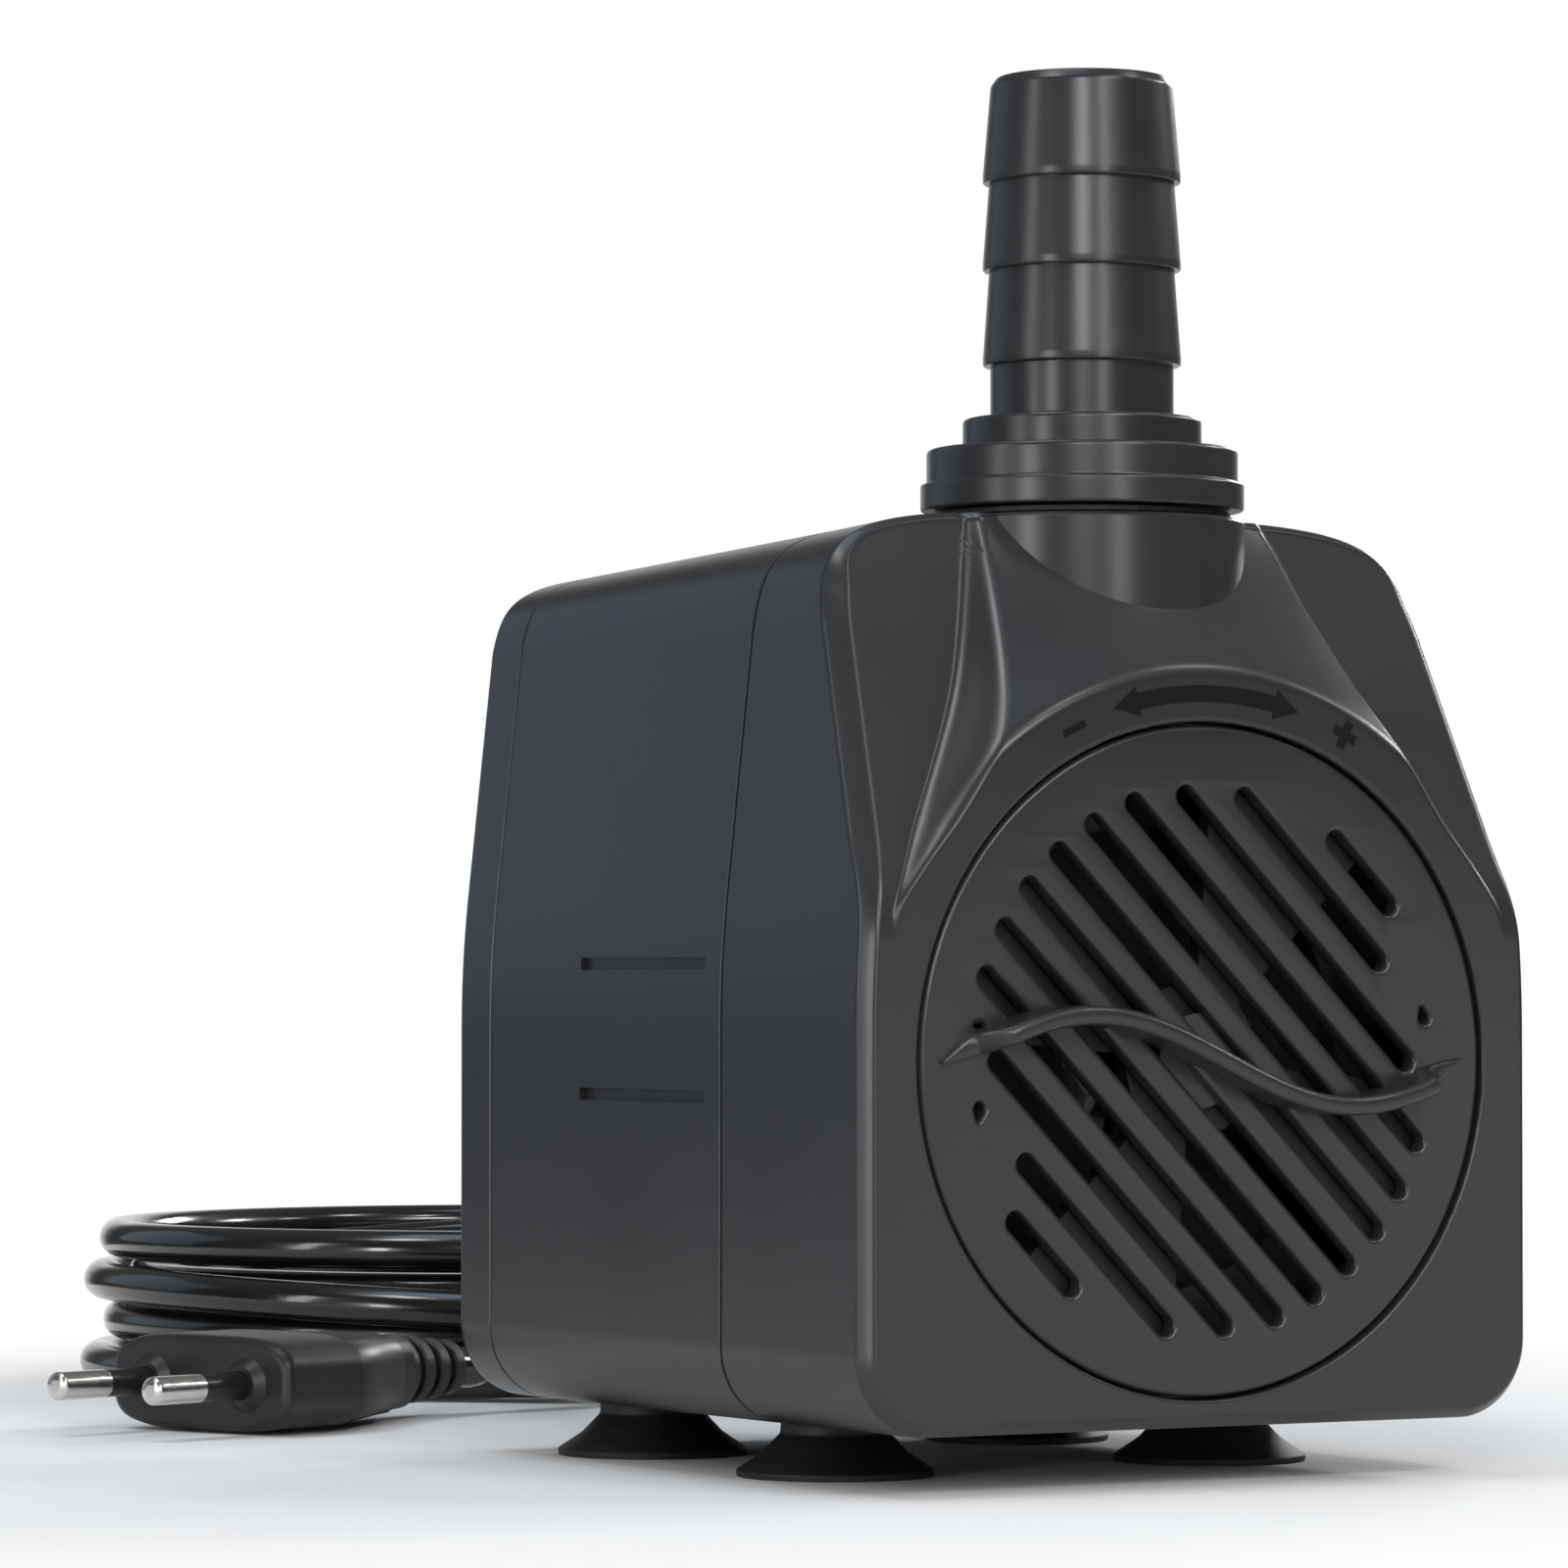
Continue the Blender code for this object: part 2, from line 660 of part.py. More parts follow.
def build_flow_dial():
    """Slotted intake dial, which turns on a short pivot behind it."""
    centre = (0, DIAL_Z)
    loops = [circle(DIAL_RADIUS, DIAL_STEPS)] + slot_loops()
    for x, z in DROP_HOLES:
        place_x = x * DIAL_RADIUS
        place_z = z * DIAL_RADIUS
        loops.append(arc(place_x, place_z, DROP_HOLE_RADIUS, 0, 315, 8))
    dial = plate("flow_dial", loops, DIAL_START, DIAL_START + DIAL_THICKNESS, HOUSING, centre)
    join(dial, build_fin())
    pivot_end = RECESS_DEPTH + PIVOT_PROUD
    boss = PIVOT_RADIUS * 2
    root = DIAL_START + DIAL_THICKNESS / 2
    back = DIAL_START + DIAL_THICKNESS
    join(dial, cylinder("dial_boss", boss, root, back, HOUSING, centre, steps=SMALL_STEPS))
    join(dial, cylinder("dial_pivot", PIVOT_RADIUS, root, pivot_end, HOUSING, centre, steps=SMALL_STEPS))
    return dial


def fan_loop(inner, outer, middle, width):
    """Outline of a fan-shaped opening."""
    low = middle - width / 2
    high = middle + width / 2
    return arc(0, 0, outer, low, high, 9) + arc(0, 0, inner, high, low, 5)


def build_intake_plate():
    """Fixed plate behind the dial, with fan-shaped openings."""
    loops = [circle(DIAL_RADIUS + RUNNING_GAP - GAP, DIAL_STEPS), circle(PIVOT_RADIUS + GAP, SMALL_STEPS)]
    for index in range(FAN_COUNT):
        middle = FAN_TURN + 360 * index / FAN_COUNT
        loops.append(fan_loop(FAN_INNER, FAN_OUTER, middle, FAN_ANGLE))
    end = PLATE_START + PLATE_THICKNESS
    return plate("intake_plate", loops, PLATE_START, end, HOUSING, (0, DIAL_Z))


def build_chamber_cover():
    """Cover of the impeller chamber, with the eye and the front bush's seat."""
    loops = [circle(CHAMBER_RADIUS - GAP), circle(BUSH_RADIUS + GAP, SMALL_STEPS)]
    for index in range(3):
        loops.append(fan_loop(EYE_INNER, EYE_OUTER, 90 + 120 * index, EYE_ANGLE))
    end = COVER_START + COVER_THICKNESS
    return plate("chamber_cover", loops, COVER_START, end, HOUSING, (0, DIAL_Z))


def ring(name, inner, outer, start, end, skin, steps=ROUND_STEPS):
    """A plain ring round the dial's axis, between two depths."""
    length = end - start
    profile = [(inner, length), (outer, length), (outer, 0), (inner, 0)]
    return lathe(name, profile, skin, (0, depth(start), DIAL_Z), True, steps)


def build_rotor():
    """Impeller with its sleeve, the magnet on it, the shaft and the bushes."""
    bore = SHAFT_RADIUS + SHAFT_CLEARANCE
    disc_end = DISC_START + DISC_THICKNESS
    profile = [
        (bore, SLEEVE_END - BLADE_START),
        (SLEEVE_RADIUS, SLEEVE_END - BLADE_START),
        (SLEEVE_RADIUS, disc_end - BLADE_START),
        (IMPELLER_RADIUS, disc_end - BLADE_START),
        (IMPELLER_RADIUS, DISC_START - BLADE_START),
        (HUB_RADIUS, DISC_START - BLADE_START),
        (HUB_RADIUS, 0),
        (bore, 0),
    ]
    impeller = lathe("impeller", profile, WHITE_PLASTIC, (0, depth(BLADE_START), DIAL_Z), True)
    for index in range(BLADE_COUNT):
        low = (HUB_RADIUS - OVERCUT, -BLADE_THICKNESS / 2, 0)
        high = (IMPELLER_RADIUS - GAP, BLADE_THICKNESS / 2, BLADE_HEIGHT + DISC_THICKNESS / 2)
        blade = box(f"blade_{index}", low, high, WHITE_PLASTIC)
        blade.parent = impeller
        angle = 2 * math.pi * index / BLADE_COUNT
        blade.matrix_local = Matrix.Rotation(angle, 4, "Z") @ Matrix.Translation(blade.location)
        join(impeller, blade)
    magnet_end = MAGNET_START + MAGNET_LENGTH
    ring("rotor_magnet", SLEEVE_RADIUS + GAP, MAGNET_RADIUS, MAGNET_START, magnet_end, FERRITE)
    bush_bore = SHAFT_RADIUS + SHAFT_CLEARANCE / 2
    bush_start = COVER_START + (COVER_THICKNESS - BUSH_LENGTH) / 2
    ring("front_bush", bush_bore, BUSH_RADIUS, bush_start, bush_start + BUSH_LENGTH, RUBBER, SMALL_STEPS)
    rear_end = REAR_BUSH_START + REAR_BUSH_THICKNESS
    ring("rear_bush", bush_bore, WELL_RADIUS - GAP, REAR_BUSH_START, rear_end, RUBBER)
    cylinder("rotor_shaft", SHAFT_RADIUS, SHAFT_START, rear_end, CERAMIC, (0, DIAL_Z), steps=SMALL_STEPS)


def motor_cavity():
    """The space in the motor housing, round the rotor's well and under the neck's seat."""
    start = MOTOR_START + WALL
    end = MOTOR_END + OVERCUT
    cavity = loft("motor_cavity", [section(WALL, start), section(WALL, end)], HOUSING)
    outer = WELL_RADIUS + WELL_WALL
    cut(cavity, cylinder("well_shell", outer, MOTOR_START, WELL_END + WELL_WALL, HOUSING, (0, DIAL_Z)))
    seat = NECK_RADIUS + GAP + WALL
    low = BODY_Z + NECK_LOW - GAP - WALL
    axis = (0, depth(NECK_DEPTH))
    cut(cavity, cylinder("neck_seat_shell", seat, low, TOP_Z + WALL, HOUSING, axis, False))
    return cavity


def cup_places():
    """Name and place of each suction cup."""
    places = []
    for row, distance in (("front", CUP_FRONT_DEPTH), ("rear", CUP_REAR_DEPTH)):
        for side, sign in (("left", -1), ("right", 1)):
            places.append((f"suction_cup_{row}_{side}", sign * CUP_SPREAD / 2, depth(distance)))
    return places


def build_motor_housing():
    """Motor casing with the rotor's well, the chamber's flange and holes for the cups."""
    body = loft("motor_housing", [section(0, MOTOR_START), section(0, MOTOR_END)], HOUSING)
    cut(body, motor_cavity())
    axis = (0, DIAL_Z)
    flange_end = MOTOR_START + WALL / 2
    flange = CHAMBER_RADIUS - RUNNING_GAP
    join(body, cylinder("flange", flange - SEAL_SECTION, FLANGE_START, flange_end, HOUSING, axis))
    step = FLANGE_START + SEAL_SECTION + GAP
    join(body, cylinder("flange_step", flange, step, flange_end, HOUSING, axis))
    cut(body, cylinder("well_bore", WELL_RADIUS, 0, WELL_END, HOUSING, axis))
    seat = NECK_RADIUS + GAP
    low = BODY_Z + NECK_LOW - GAP
    cut(body, cylinder("neck_seat", seat, low, TOP_Z + WALL, HOUSING, (0, depth(NECK_DEPTH)), False))
    for name, x, y in cup_places():
        hole = STEM_RADIUS + GAP
        high = BODY_Z + WALL + OVERCUT
        cut(body, cylinder(f"{name}_hole", hole, 0, high, HOUSING, (x, y), False, SMALL_STEPS))
    for side in (-1, 1):
        for level in (-1, 1):
            middle = BODY_Z + GROOVE_HEIGHT + level * GROOVE_SPACING / 2
            face = side * BODY_WIDTH / 2
            inner = face - side * GROOVE_DEPTH
            outer = face + side * OVERCUT
            start = MOTOR_START + GROOVE_START
            low = (min(inner, outer), depth(start), middle - GROOVE_WIDTH / 2)
            high = (max(inner, outer), depth(start + GROOVE_LENGTH), middle + GROOVE_WIDTH / 2)
            cut(body, box(f"groove_{side}_{level}", low, high, HOUSING))
    seal_inner = flange - SEAL_SECTION + GAP
    seal_outer = CHAMBER_RADIUS - GAP
    ring("chamber_seal", seal_inner, seal_outer, FLANGE_START, FLANGE_START + SEAL_SECTION, RUBBER)
    return body


def build_rear_cover():
    """End cover with a lip inside the motor casing and a hole for the cord's gland."""
    rings = [
        section(0, REAR_START),
        section(0, BODY_LENGTH - REAR_ROUND),
        section(REAR_ROUND * 0.3, BODY_LENGTH - REAR_ROUND * 0.3),
        section(REAR_ROUND, BODY_LENGTH),
    ]
    cover = loft("rear_cover", rings, HOUSING)
    lip_inset = WALL + GAP
    lip_start = MOTOR_END - LIP_LENGTH
    lip = loft("lip", [section(lip_inset, lip_start), section(lip_inset, REAR_START + OVERCUT)], HOUSING)
    join(cover, lip)
    inner = lip_inset + WALL * 0.7
    space = [section(inner, lip_start - OVERCUT), section(inner, BODY_LENGTH - WALL)]
    cut(cover, loft("cover_space", space, HOUSING))
    hole = GLAND_RADIUS + GAP
    start = BODY_LENGTH - 2 * WALL
    end = BODY_LENGTH + OVERCUT
    gland_axis = (GLAND_X, GLAND_Z)
    cut(cover, cylinder("gland_hole", hole, start, end, HOUSING, gland_axis, steps=FOOT_STEPS))
    return cover


def build_stator():
    """Laminated core, with a bobbin and a winding on each leg."""
    outer = LEG_INNER + LEG_WIDTH
    low = -LEG_LOW
    yoke_low = YOKE_Z - DIAL_Z
    yoke_high = yoke_low + YOKE_HEIGHT
    outline = [
        (-outer, low), (-LEG_INNER, low), (-LEG_INNER, yoke_low), (LEG_INNER, yoke_low),
        (LEG_INNER, low), (outer, low), (outer, yoke_high), (-outer, yoke_high),
    ]
    end = CORE_START + CORE_LENGTH
    core = plate("stator_core", [outline], CORE_START, end, STEEL, (0, DIAL_Z))
    clear = WELL_RADIUS + WELL_WALL + GAP
    cut(core, cylinder("core_bore", clear, CORE_START - OVERCUT, end + OVERCUT, STEEL, (0, DIAL_Z)))
    middle_y = depth(CORE_START + CORE_LENGTH / 2)
    for side, sign in (("left", -1), ("right", 1)):
        middle_x = sign * LEG_CENTRE

        def block(name, grow, z_low, z_high, skin):
            half_x = LEG_WIDTH / 2 + grow
            half_y = CORE_LENGTH / 2 + grow
            low_corner = (middle_x - half_x, middle_y - half_y, z_low)
            high_corner = (middle_x + half_x, middle_y + half_y, z_high)
            return box(name, low_corner, high_corner, skin)

        tube = GAP + BOBBIN_WALL
        flange = tube + WINDING_DEPTH + BOBBIN_RIM
        top = BOBBIN_Z + BOBBIN_HEIGHT
        bobbin = block(f"coil_bobbin_{side}", flange, BOBBIN_Z, BOBBIN_Z + BOBBIN_WALL, WHITE_PLASTIC)
        join(bobbin, block(f"{side}_tube", tube, BOBBIN_Z, top, WHITE_PLASTIC))
        join(bobbin, block(f"{side}_flange", flange, top - BOBBIN_WALL, top, WHITE_PLASTIC))
        cut(bobbin, block(f"{side}_leg_hole", GAP, BOBBIN_Z - OVERCUT, top + OVERCUT, WHITE_PLASTIC))
        coil_low = BOBBIN_Z + BOBBIN_WALL + GAP
        coil_high = top - BOBBIN_WALL - GAP
        winding = block(f"winding_{side}", tube + WINDING_DEPTH, coil_low, coil_high, COPPER)
        hole_low = coil_low - OVERCUT
        cut(winding, block(f"{side}_coil_hole", tube + GAP, hole_low, coil_high + OVERCUT, COPPER))


def build_nozzle():
    """Barbed hose nozzle with a stepped collar, and the seal under it."""
    place = (0, depth(NECK_DEPTH), COLLAR_Z)
    steps = []
    height = 0.0
    for radius, rise in zip(COLLAR_RADII, COLLAR_HEIGHTS):
        steps.append((radius, height, height + rise))
        height += rise
    pipe_top = height + PIPE_HEIGHT
    top = pipe_top + BARB_COUNT * BARB_HEIGHT + TIP_HEIGHT
    outer = [(BARB_NARROW - 2 * LIP_RADIUS, top), (BARB_NARROW - LIP_RADIUS, top)]
    for index in reversed(range(BARB_COUNT)):
        base = pipe_top + index * BARB_HEIGHT
        crest = top - LIP_RADIUS if index == BARB_COUNT - 1 else base + BARB_HEIGHT
        outer.extend([(BARB_NARROW, crest), (BARB_WIDE, base + BARB_BAND), (BARB_WIDE, base)])
    outer.extend([(PIPE_RADIUS, pipe_top), (PIPE_RADIUS, height)])
    for radius, low, high in reversed(steps):
        outer.append((radius - COLLAR_CHAMFER, high))
        outer.extend([(radius, high - COLLAR_CHAMFER), (radius, low)])
    spigot = SOCKET_RADIUS - GAP
    outer.extend([(spigot, 0), (spigot, -SPIGOT_LENGTH), (NOZZLE_BORE, -SPIGOT_LENGTH)])
    outer.append((NOZZLE_BORE, top - LIP_RADIUS))
    lathe("outlet_nozzle", outer, HOUSING, place)
    seal_outer = NECK_RADIUS - SEAL_MARGIN
    seal_inner = SOCKET_RADIUS + SEAL_MARGIN
    profile = [
        (seal_inner, SEAL_THICKNESS), (seal_outer, SEAL_THICKNESS), (seal_outer, 0), (seal_inner, 0),
    ]
    lathe("nozzle_seal", profile, RUBBER, (0, depth(NECK_DEPTH), SEAL_Z))


def build_suction_cups():
    """Four rubber feet, each with a stem buttoned through the floor of the motor casing."""
    top = BODY_Z - GAP
    button = BODY_Z + WALL + GAP
    profile = [
        (0, button + BUTTON_HEIGHT),
        (BUTTON_RADIUS * 0.7, button + BUTTON_HEIGHT),
        (BUTTON_RADIUS, button),
        (STEM_RADIUS, button),
        (STEM_RADIUS, top),
        (CUP_TOP_RADIUS, top),
        (CUP_TOP_RADIUS + GAP, top - CUP_SHOULDER),
        (CUP_RADIUS, CUP_RIM),
        (CUP_RADIUS, 0),
        (CUP_RADIUS - CUP_RIM_WIDTH, 0),
        (CUP_TOP_RADIUS, CUP_HOLLOW * 0.75),
        (0, CUP_HOLLOW),
    ]
    for name, x, y in cup_places():
        lathe(name, profile, RUBBER, (x, y, 0), steps=FOOT_STEPS)


def build_gland():
    """Tapered strain relief, held in the rear cover by a flange and a collar."""
    start = BODY_LENGTH - WALL - GAP - GLAND_FLANGE
    collar = GLAND_FLANGE + WALL + 2 * GAP
    collar_end = collar + GLAND_COLLAR_LENGTH
    profile = [
        (0, collar + GLAND_LENGTH),
        (CORD_RADIUS + GLAND_TIP_WALL, collar + GLAND_LENGTH),
        (GLAND_COLLAR - GLAND_CHAMFER, collar_end + GLAND_CHAMFER),
        (GLAND_COLLAR, collar_end),
        (GLAND_COLLAR, collar),
        (GLAND_RADIUS, collar),
        (GLAND_RADIUS, GLAND_FLANGE),
        (GLAND_COLLAR, GLAND_FLANGE),
        (GLAND_COLLAR, 0),
        (0, 0),
    ]
    lathe("cord_gland", profile, RUBBER, (GLAND_X, depth(start), GLAND_Z), True, FOOT_STEPS)


def smooth(points, per_span):
    """Points along a smooth curve through the given ones (Catmull-Rom)."""
    places = [Vector(point) for point in points]
    padded = [2 * places[0] - places[1]] + places + [2 * places[-1] - places[-2]]
    result = []
    for index in range(1, len(padded) - 2):
        a, b, c, d = padded[index - 1:index + 3]
        for step in range(per_span):
            t = step / per_span
            pull = 2 * b + (c - a) * t + (2 * a - 5 * b + 4 * c - d) * t * t
            result.append((pull + (3 * b - a - 3 * c + d) * t * t * t) / 2)
    result.append(places[-1])
    return result


def coil_point(angle_turned, turns):
    """Place of the coil's centre line after some turns, clockwise from above."""
    per_layer = turns / COIL_LAYERS
    layer = min(COIL_LAYERS - 1, int(angle_turned / per_layer))
    within = angle_turned - layer * per_layer
    inward = within if layer % 2 == 0 else per_layer - within
    radius = COIL_RADIUS - COIL_STEP * inward
    height = 0.0
    for reversal in range(1, COIL_LAYERS):
        climb = (angle_turned - reversal * per_layer + 0.25) / 0.5
        climb = min(1.0, max(0.0, climb))
        height += climb * climb * (3 - 2 * climb)
    angle = math.radians(COIL_START_ANGLE - 360 * angle_turned)
    x = COIL_CENTRE[0] + radius * math.cos(angle)
    y = COIL_CENTRE[1] + radius * math.sin(angle)
    return Vector((x, y, CORD_FLOOR + COIL_LAYER_HEIGHT * height))


def coil_points():
    """Centre line of the piled coil, with a straight end of one diameter each side."""
    part_turn = ((COIL_START_ANGLE - COIL_END_ANGLE) % 360) / 360
    turns = COIL_WHOLE_TURNS + part_turn
    count = round(turns * COIL_POINTS_PER_TURN)
    points = [coil_point(turns * index / count, turns) for index in range(count + 1)]
    head = (points[0] - points[1]).normalized() * CORD_DIAMETER
    tail = (points[-1] - points[-2]).normalized() * CORD_DIAMETER
    return [points[0] + head] + points + [points[-1] + tail]


def least_gap(points):
    """Least gap between stretches of the coil that are at least a third of a turn apart."""
    apart = COIL_POINTS_PER_TURN // 3
    least = math.inf
    for first in range(len(points) - 1):
        for second in range(first + apart, len(points) - 1):
            start = points[second]
            along = points[second + 1] - start
            share = (points[first] - start).dot(along) / along.length_squared
            share = min(1.0, max(0.0, share))
            least = min(least, (points[first] - start - along * share).length)
    return least - CORD_DIAMETER


def tube(name, points, sides):
    """A round cord along a line of points."""
    curve = bpy.data.curves.new(name, "CURVE")
    curve.dimensions = "3D"
    curve.bevel_depth = CORD_RADIUS
    curve.bevel_resolution = sides
    curve.use_fill_caps = True
    spline = curve.splines.new("POLY")
    spline.points.add(len(points) - 1)
    for point, place in zip(spline.points, points):
        point.co = (*place, 1)
    return add(name, curve, CORD_SKIN)


def build_cord():
    """Lead from the gland, coil of the put-away length and tail to the plug."""
    coil = coil_points()
    print(f"coil: least gap to itself {least_gap(coil) / MM:.2f} mm")
    tube("cord_coil", coil, 1)
    into = (coil[1] - coil[0]).normalized()
    onward = (coil[-1] - coil[-2]).normalized()
    lead_end = coil[0] - into * GAP
    lead = list(LEAD_ROUTE) + [lead_end - into * CORD_DIAMETER * 1.5, lead_end]
    tube("cord_lead", smooth(lead, 2), 2)
    tail_start = coil[-1] + onward * GAP
    heading = math.radians(PLUG_HEADING)
    plug_way = Vector((math.cos(heading), math.sin(heading), 0))
    entry = Vector(PLUG_ENTRY) - plug_way * GAP
    tail = [tail_start, tail_start + onward * CORD_DIAMETER]
    tail += list(TAIL_ROUTE) + [entry - plug_way * CORD_DIAMETER, entry]
    tube("cord_tail", smooth(tail, 2), 2)


def rounded_ring(half_width, half_thickness, along):
    """A rounded section of the plug at a distance along it."""
    points = []
    count = PLUG_STEPS
    for index in range(count):
        angle = 2 * math.pi * index / count
        c = math.cos(angle)
        s = math.sin(angle)
        x = math.copysign(abs(c) ** 0.6, c) * half_width
        z = math.copysign(abs(s) ** 0.6, s) * half_thickness
        points.append((along, x, z))
    return points


def build_plug():
    """Flat two-pin plug with a ribbed strain relief, lying on its broad side."""
    place = Matrix.Translation(PLUG_ENTRY) @ Matrix.Rotation(math.radians(PLUG_HEADING), 4, "Z")
    rings = []
    slim = CORD_RADIUS + RELIEF_WALL
    rib = RELIEF_LENGTH / RELIEF_RIBS
    for index in range(RELIEF_RIBS):
        radius = slim + RELIEF_GROW * index
        groove = radius - RELIEF_GROOVE
        start = index * rib
        rings.append(rounded_ring(radius, radius, start))
        rings.append(rounded_ring(radius, radius, start + rib * 0.6))
        rings.append(rounded_ring(groove, groove, start + rib * 0.65))
        rings.append(rounded_ring(groove, groove, start + rib * 0.95))
    taper_end = RELIEF_LENGTH + PLUG_TAPER_LENGTH
    face = taper_end + PLUG_HEAD_LENGTH
    neck_end = RELIEF_LENGTH + PLUG_NECK_LENGTH
    rings.append(rounded_ring(PLUG_HALF_WIDTH * 0.42, PLUG_HALF_THICKNESS * 0.8, RELIEF_LENGTH))
    rings.append(rounded_ring(PLUG_HALF_WIDTH * 0.50, PLUG_HALF_THICKNESS * 0.9, neck_end))
    rings.append(rounded_ring(PLUG_HALF_WIDTH * 0.88, PLUG_HALF_THICKNESS * 0.95, taper_end))
    rings.append(rounded_ring(PLUG_HALF_WIDTH, PLUG_HALF_THICKNESS, taper_end + PLUG_STEP_LENGTH))
    rings.append(rounded_ring(PLUG_HALF_WIDTH, PLUG_HALF_THICKNESS, face - PLUG_CHAMFER))
    narrow = PLUG_HALF_WIDTH - PLUG_CHAMFER
    thin = PLUG_HALF_THICKNESS - PLUG_CHAMFER
    rings.append(rounded_ring(narrow, thin, face))
    body = loft("plug_body", rings, RUBBER, place)
    for side, sign in (("left", 1), ("right", -1)):
        offset = sign * PIN_SPACING / 2
        root = place @ Matrix.Translation((face - PIN_ROOT, offset, 0))
        root = root @ Matrix.Rotation(math.pi / 2, 4, "Y")
        reach = PIN_ROOT + PIN_LENGTH
        hole = bmesh.new()
        radius = PIN_RADIUS + GAP
        bmesh.ops.create_cone(
            hole, cap_ends=True, segments=SMALL_STEPS, radius1=radius, radius2=radius, depth=2 * PIN_ROOT,
        )
        bmesh.ops.translate(hole, vec=(0, 0, PIN_ROOT - GAP), verts=hole.verts)
        mesh = bpy.data.meshes.new(f"pin_hole_{side}")
        hole.to_mesh(mesh)
        hole.free()
        cutter = add(f"pin_hole_{side}", mesh, RUBBER)
        cutter.matrix_world = root
        cut(body, cutter)
        tip = (PIN_RADIUS - PIN_TIP, reach)
        profile = [(0, reach), tip, (PIN_RADIUS, reach - PIN_TIP), (PIN_RADIUS, 0), (0, 0)]
        pin = lathe(f"plug_pin_{side}", profile, NICKEL, (0, 0, 0), steps=SMALL_STEPS)
        pin.matrix_world = root


build_front_housing()
build_flow_dial()
build_intake_plate()
build_chamber_cover()
build_rotor()
build_motor_housing()
build_rear_cover()
build_stator()
build_nozzle()
build_suction_cups()
build_gland()
build_cord()
build_plug()
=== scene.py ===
"""Looks of a fountain submersible pump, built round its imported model.

The pump's front faces -Y and +Z is up. Every size is in metres, written as millimetres
times MM, and "depth" is a distance behind the flat front face.
"""

from __future__ import annotations

import json
import logging
import math
from dataclasses import dataclass
from enum import Enum
from typing import Iterable, Sequence

import bmesh
import bpy
import numpy as np
from mathutils import Matrix, Vector

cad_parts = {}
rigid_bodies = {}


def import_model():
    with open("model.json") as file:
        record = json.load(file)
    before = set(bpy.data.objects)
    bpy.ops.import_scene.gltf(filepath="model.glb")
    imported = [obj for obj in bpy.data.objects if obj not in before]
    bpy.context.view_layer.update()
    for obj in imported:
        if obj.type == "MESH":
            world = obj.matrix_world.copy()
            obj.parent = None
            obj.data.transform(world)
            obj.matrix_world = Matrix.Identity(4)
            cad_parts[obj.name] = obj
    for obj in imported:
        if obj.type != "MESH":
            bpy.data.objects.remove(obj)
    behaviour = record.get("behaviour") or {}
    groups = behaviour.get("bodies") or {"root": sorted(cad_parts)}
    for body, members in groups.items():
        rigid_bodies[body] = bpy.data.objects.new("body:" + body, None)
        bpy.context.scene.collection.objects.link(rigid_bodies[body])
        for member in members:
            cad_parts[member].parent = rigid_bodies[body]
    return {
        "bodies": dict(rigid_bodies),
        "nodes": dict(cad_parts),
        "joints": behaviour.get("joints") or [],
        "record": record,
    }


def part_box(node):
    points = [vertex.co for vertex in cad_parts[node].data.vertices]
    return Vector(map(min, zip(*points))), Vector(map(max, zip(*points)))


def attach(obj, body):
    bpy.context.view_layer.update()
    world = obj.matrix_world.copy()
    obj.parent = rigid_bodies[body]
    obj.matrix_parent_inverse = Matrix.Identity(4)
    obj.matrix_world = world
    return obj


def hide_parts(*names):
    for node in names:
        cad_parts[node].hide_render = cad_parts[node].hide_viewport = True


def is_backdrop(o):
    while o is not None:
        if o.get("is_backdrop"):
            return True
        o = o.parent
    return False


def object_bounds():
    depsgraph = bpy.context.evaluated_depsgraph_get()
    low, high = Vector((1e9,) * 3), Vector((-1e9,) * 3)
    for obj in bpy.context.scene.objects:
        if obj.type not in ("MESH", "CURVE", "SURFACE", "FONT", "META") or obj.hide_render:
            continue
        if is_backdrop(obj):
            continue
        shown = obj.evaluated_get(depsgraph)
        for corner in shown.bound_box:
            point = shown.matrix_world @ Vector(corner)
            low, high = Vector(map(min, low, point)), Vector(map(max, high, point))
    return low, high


LOG = logging.getLogger("fountain_pump")

MM = 0.001
MERGE_DISTANCE = 1e-6

Colour = tuple[float, float, float]
Point2 = tuple[float, float]
Point3 = tuple[float, float, float]


class Body(Enum):
    """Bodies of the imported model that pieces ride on."""

    MOTOR = "motor"
    FRONT = "front"
    DIAL = "dial"
    ROTOR = "rotor"
    NOZZLE = "nozzle"


class Slot(Enum):
    """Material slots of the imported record."""

    HOUSING = "housing"
    RUBBER = "rubber"
    CORD = "cord"
    PLUG = "plug"
    PIN = "pin"
    ROTOR = "rotor"
    CERAMIC = "ceramic"


class Effect(Enum):
    """Surface effects that materials share as node groups."""

    MOULDED_GRAIN = "moulded_grain"
    SETTLED_DUST = "settled_dust"
    DRAWN_LINES = "drawn_lines"


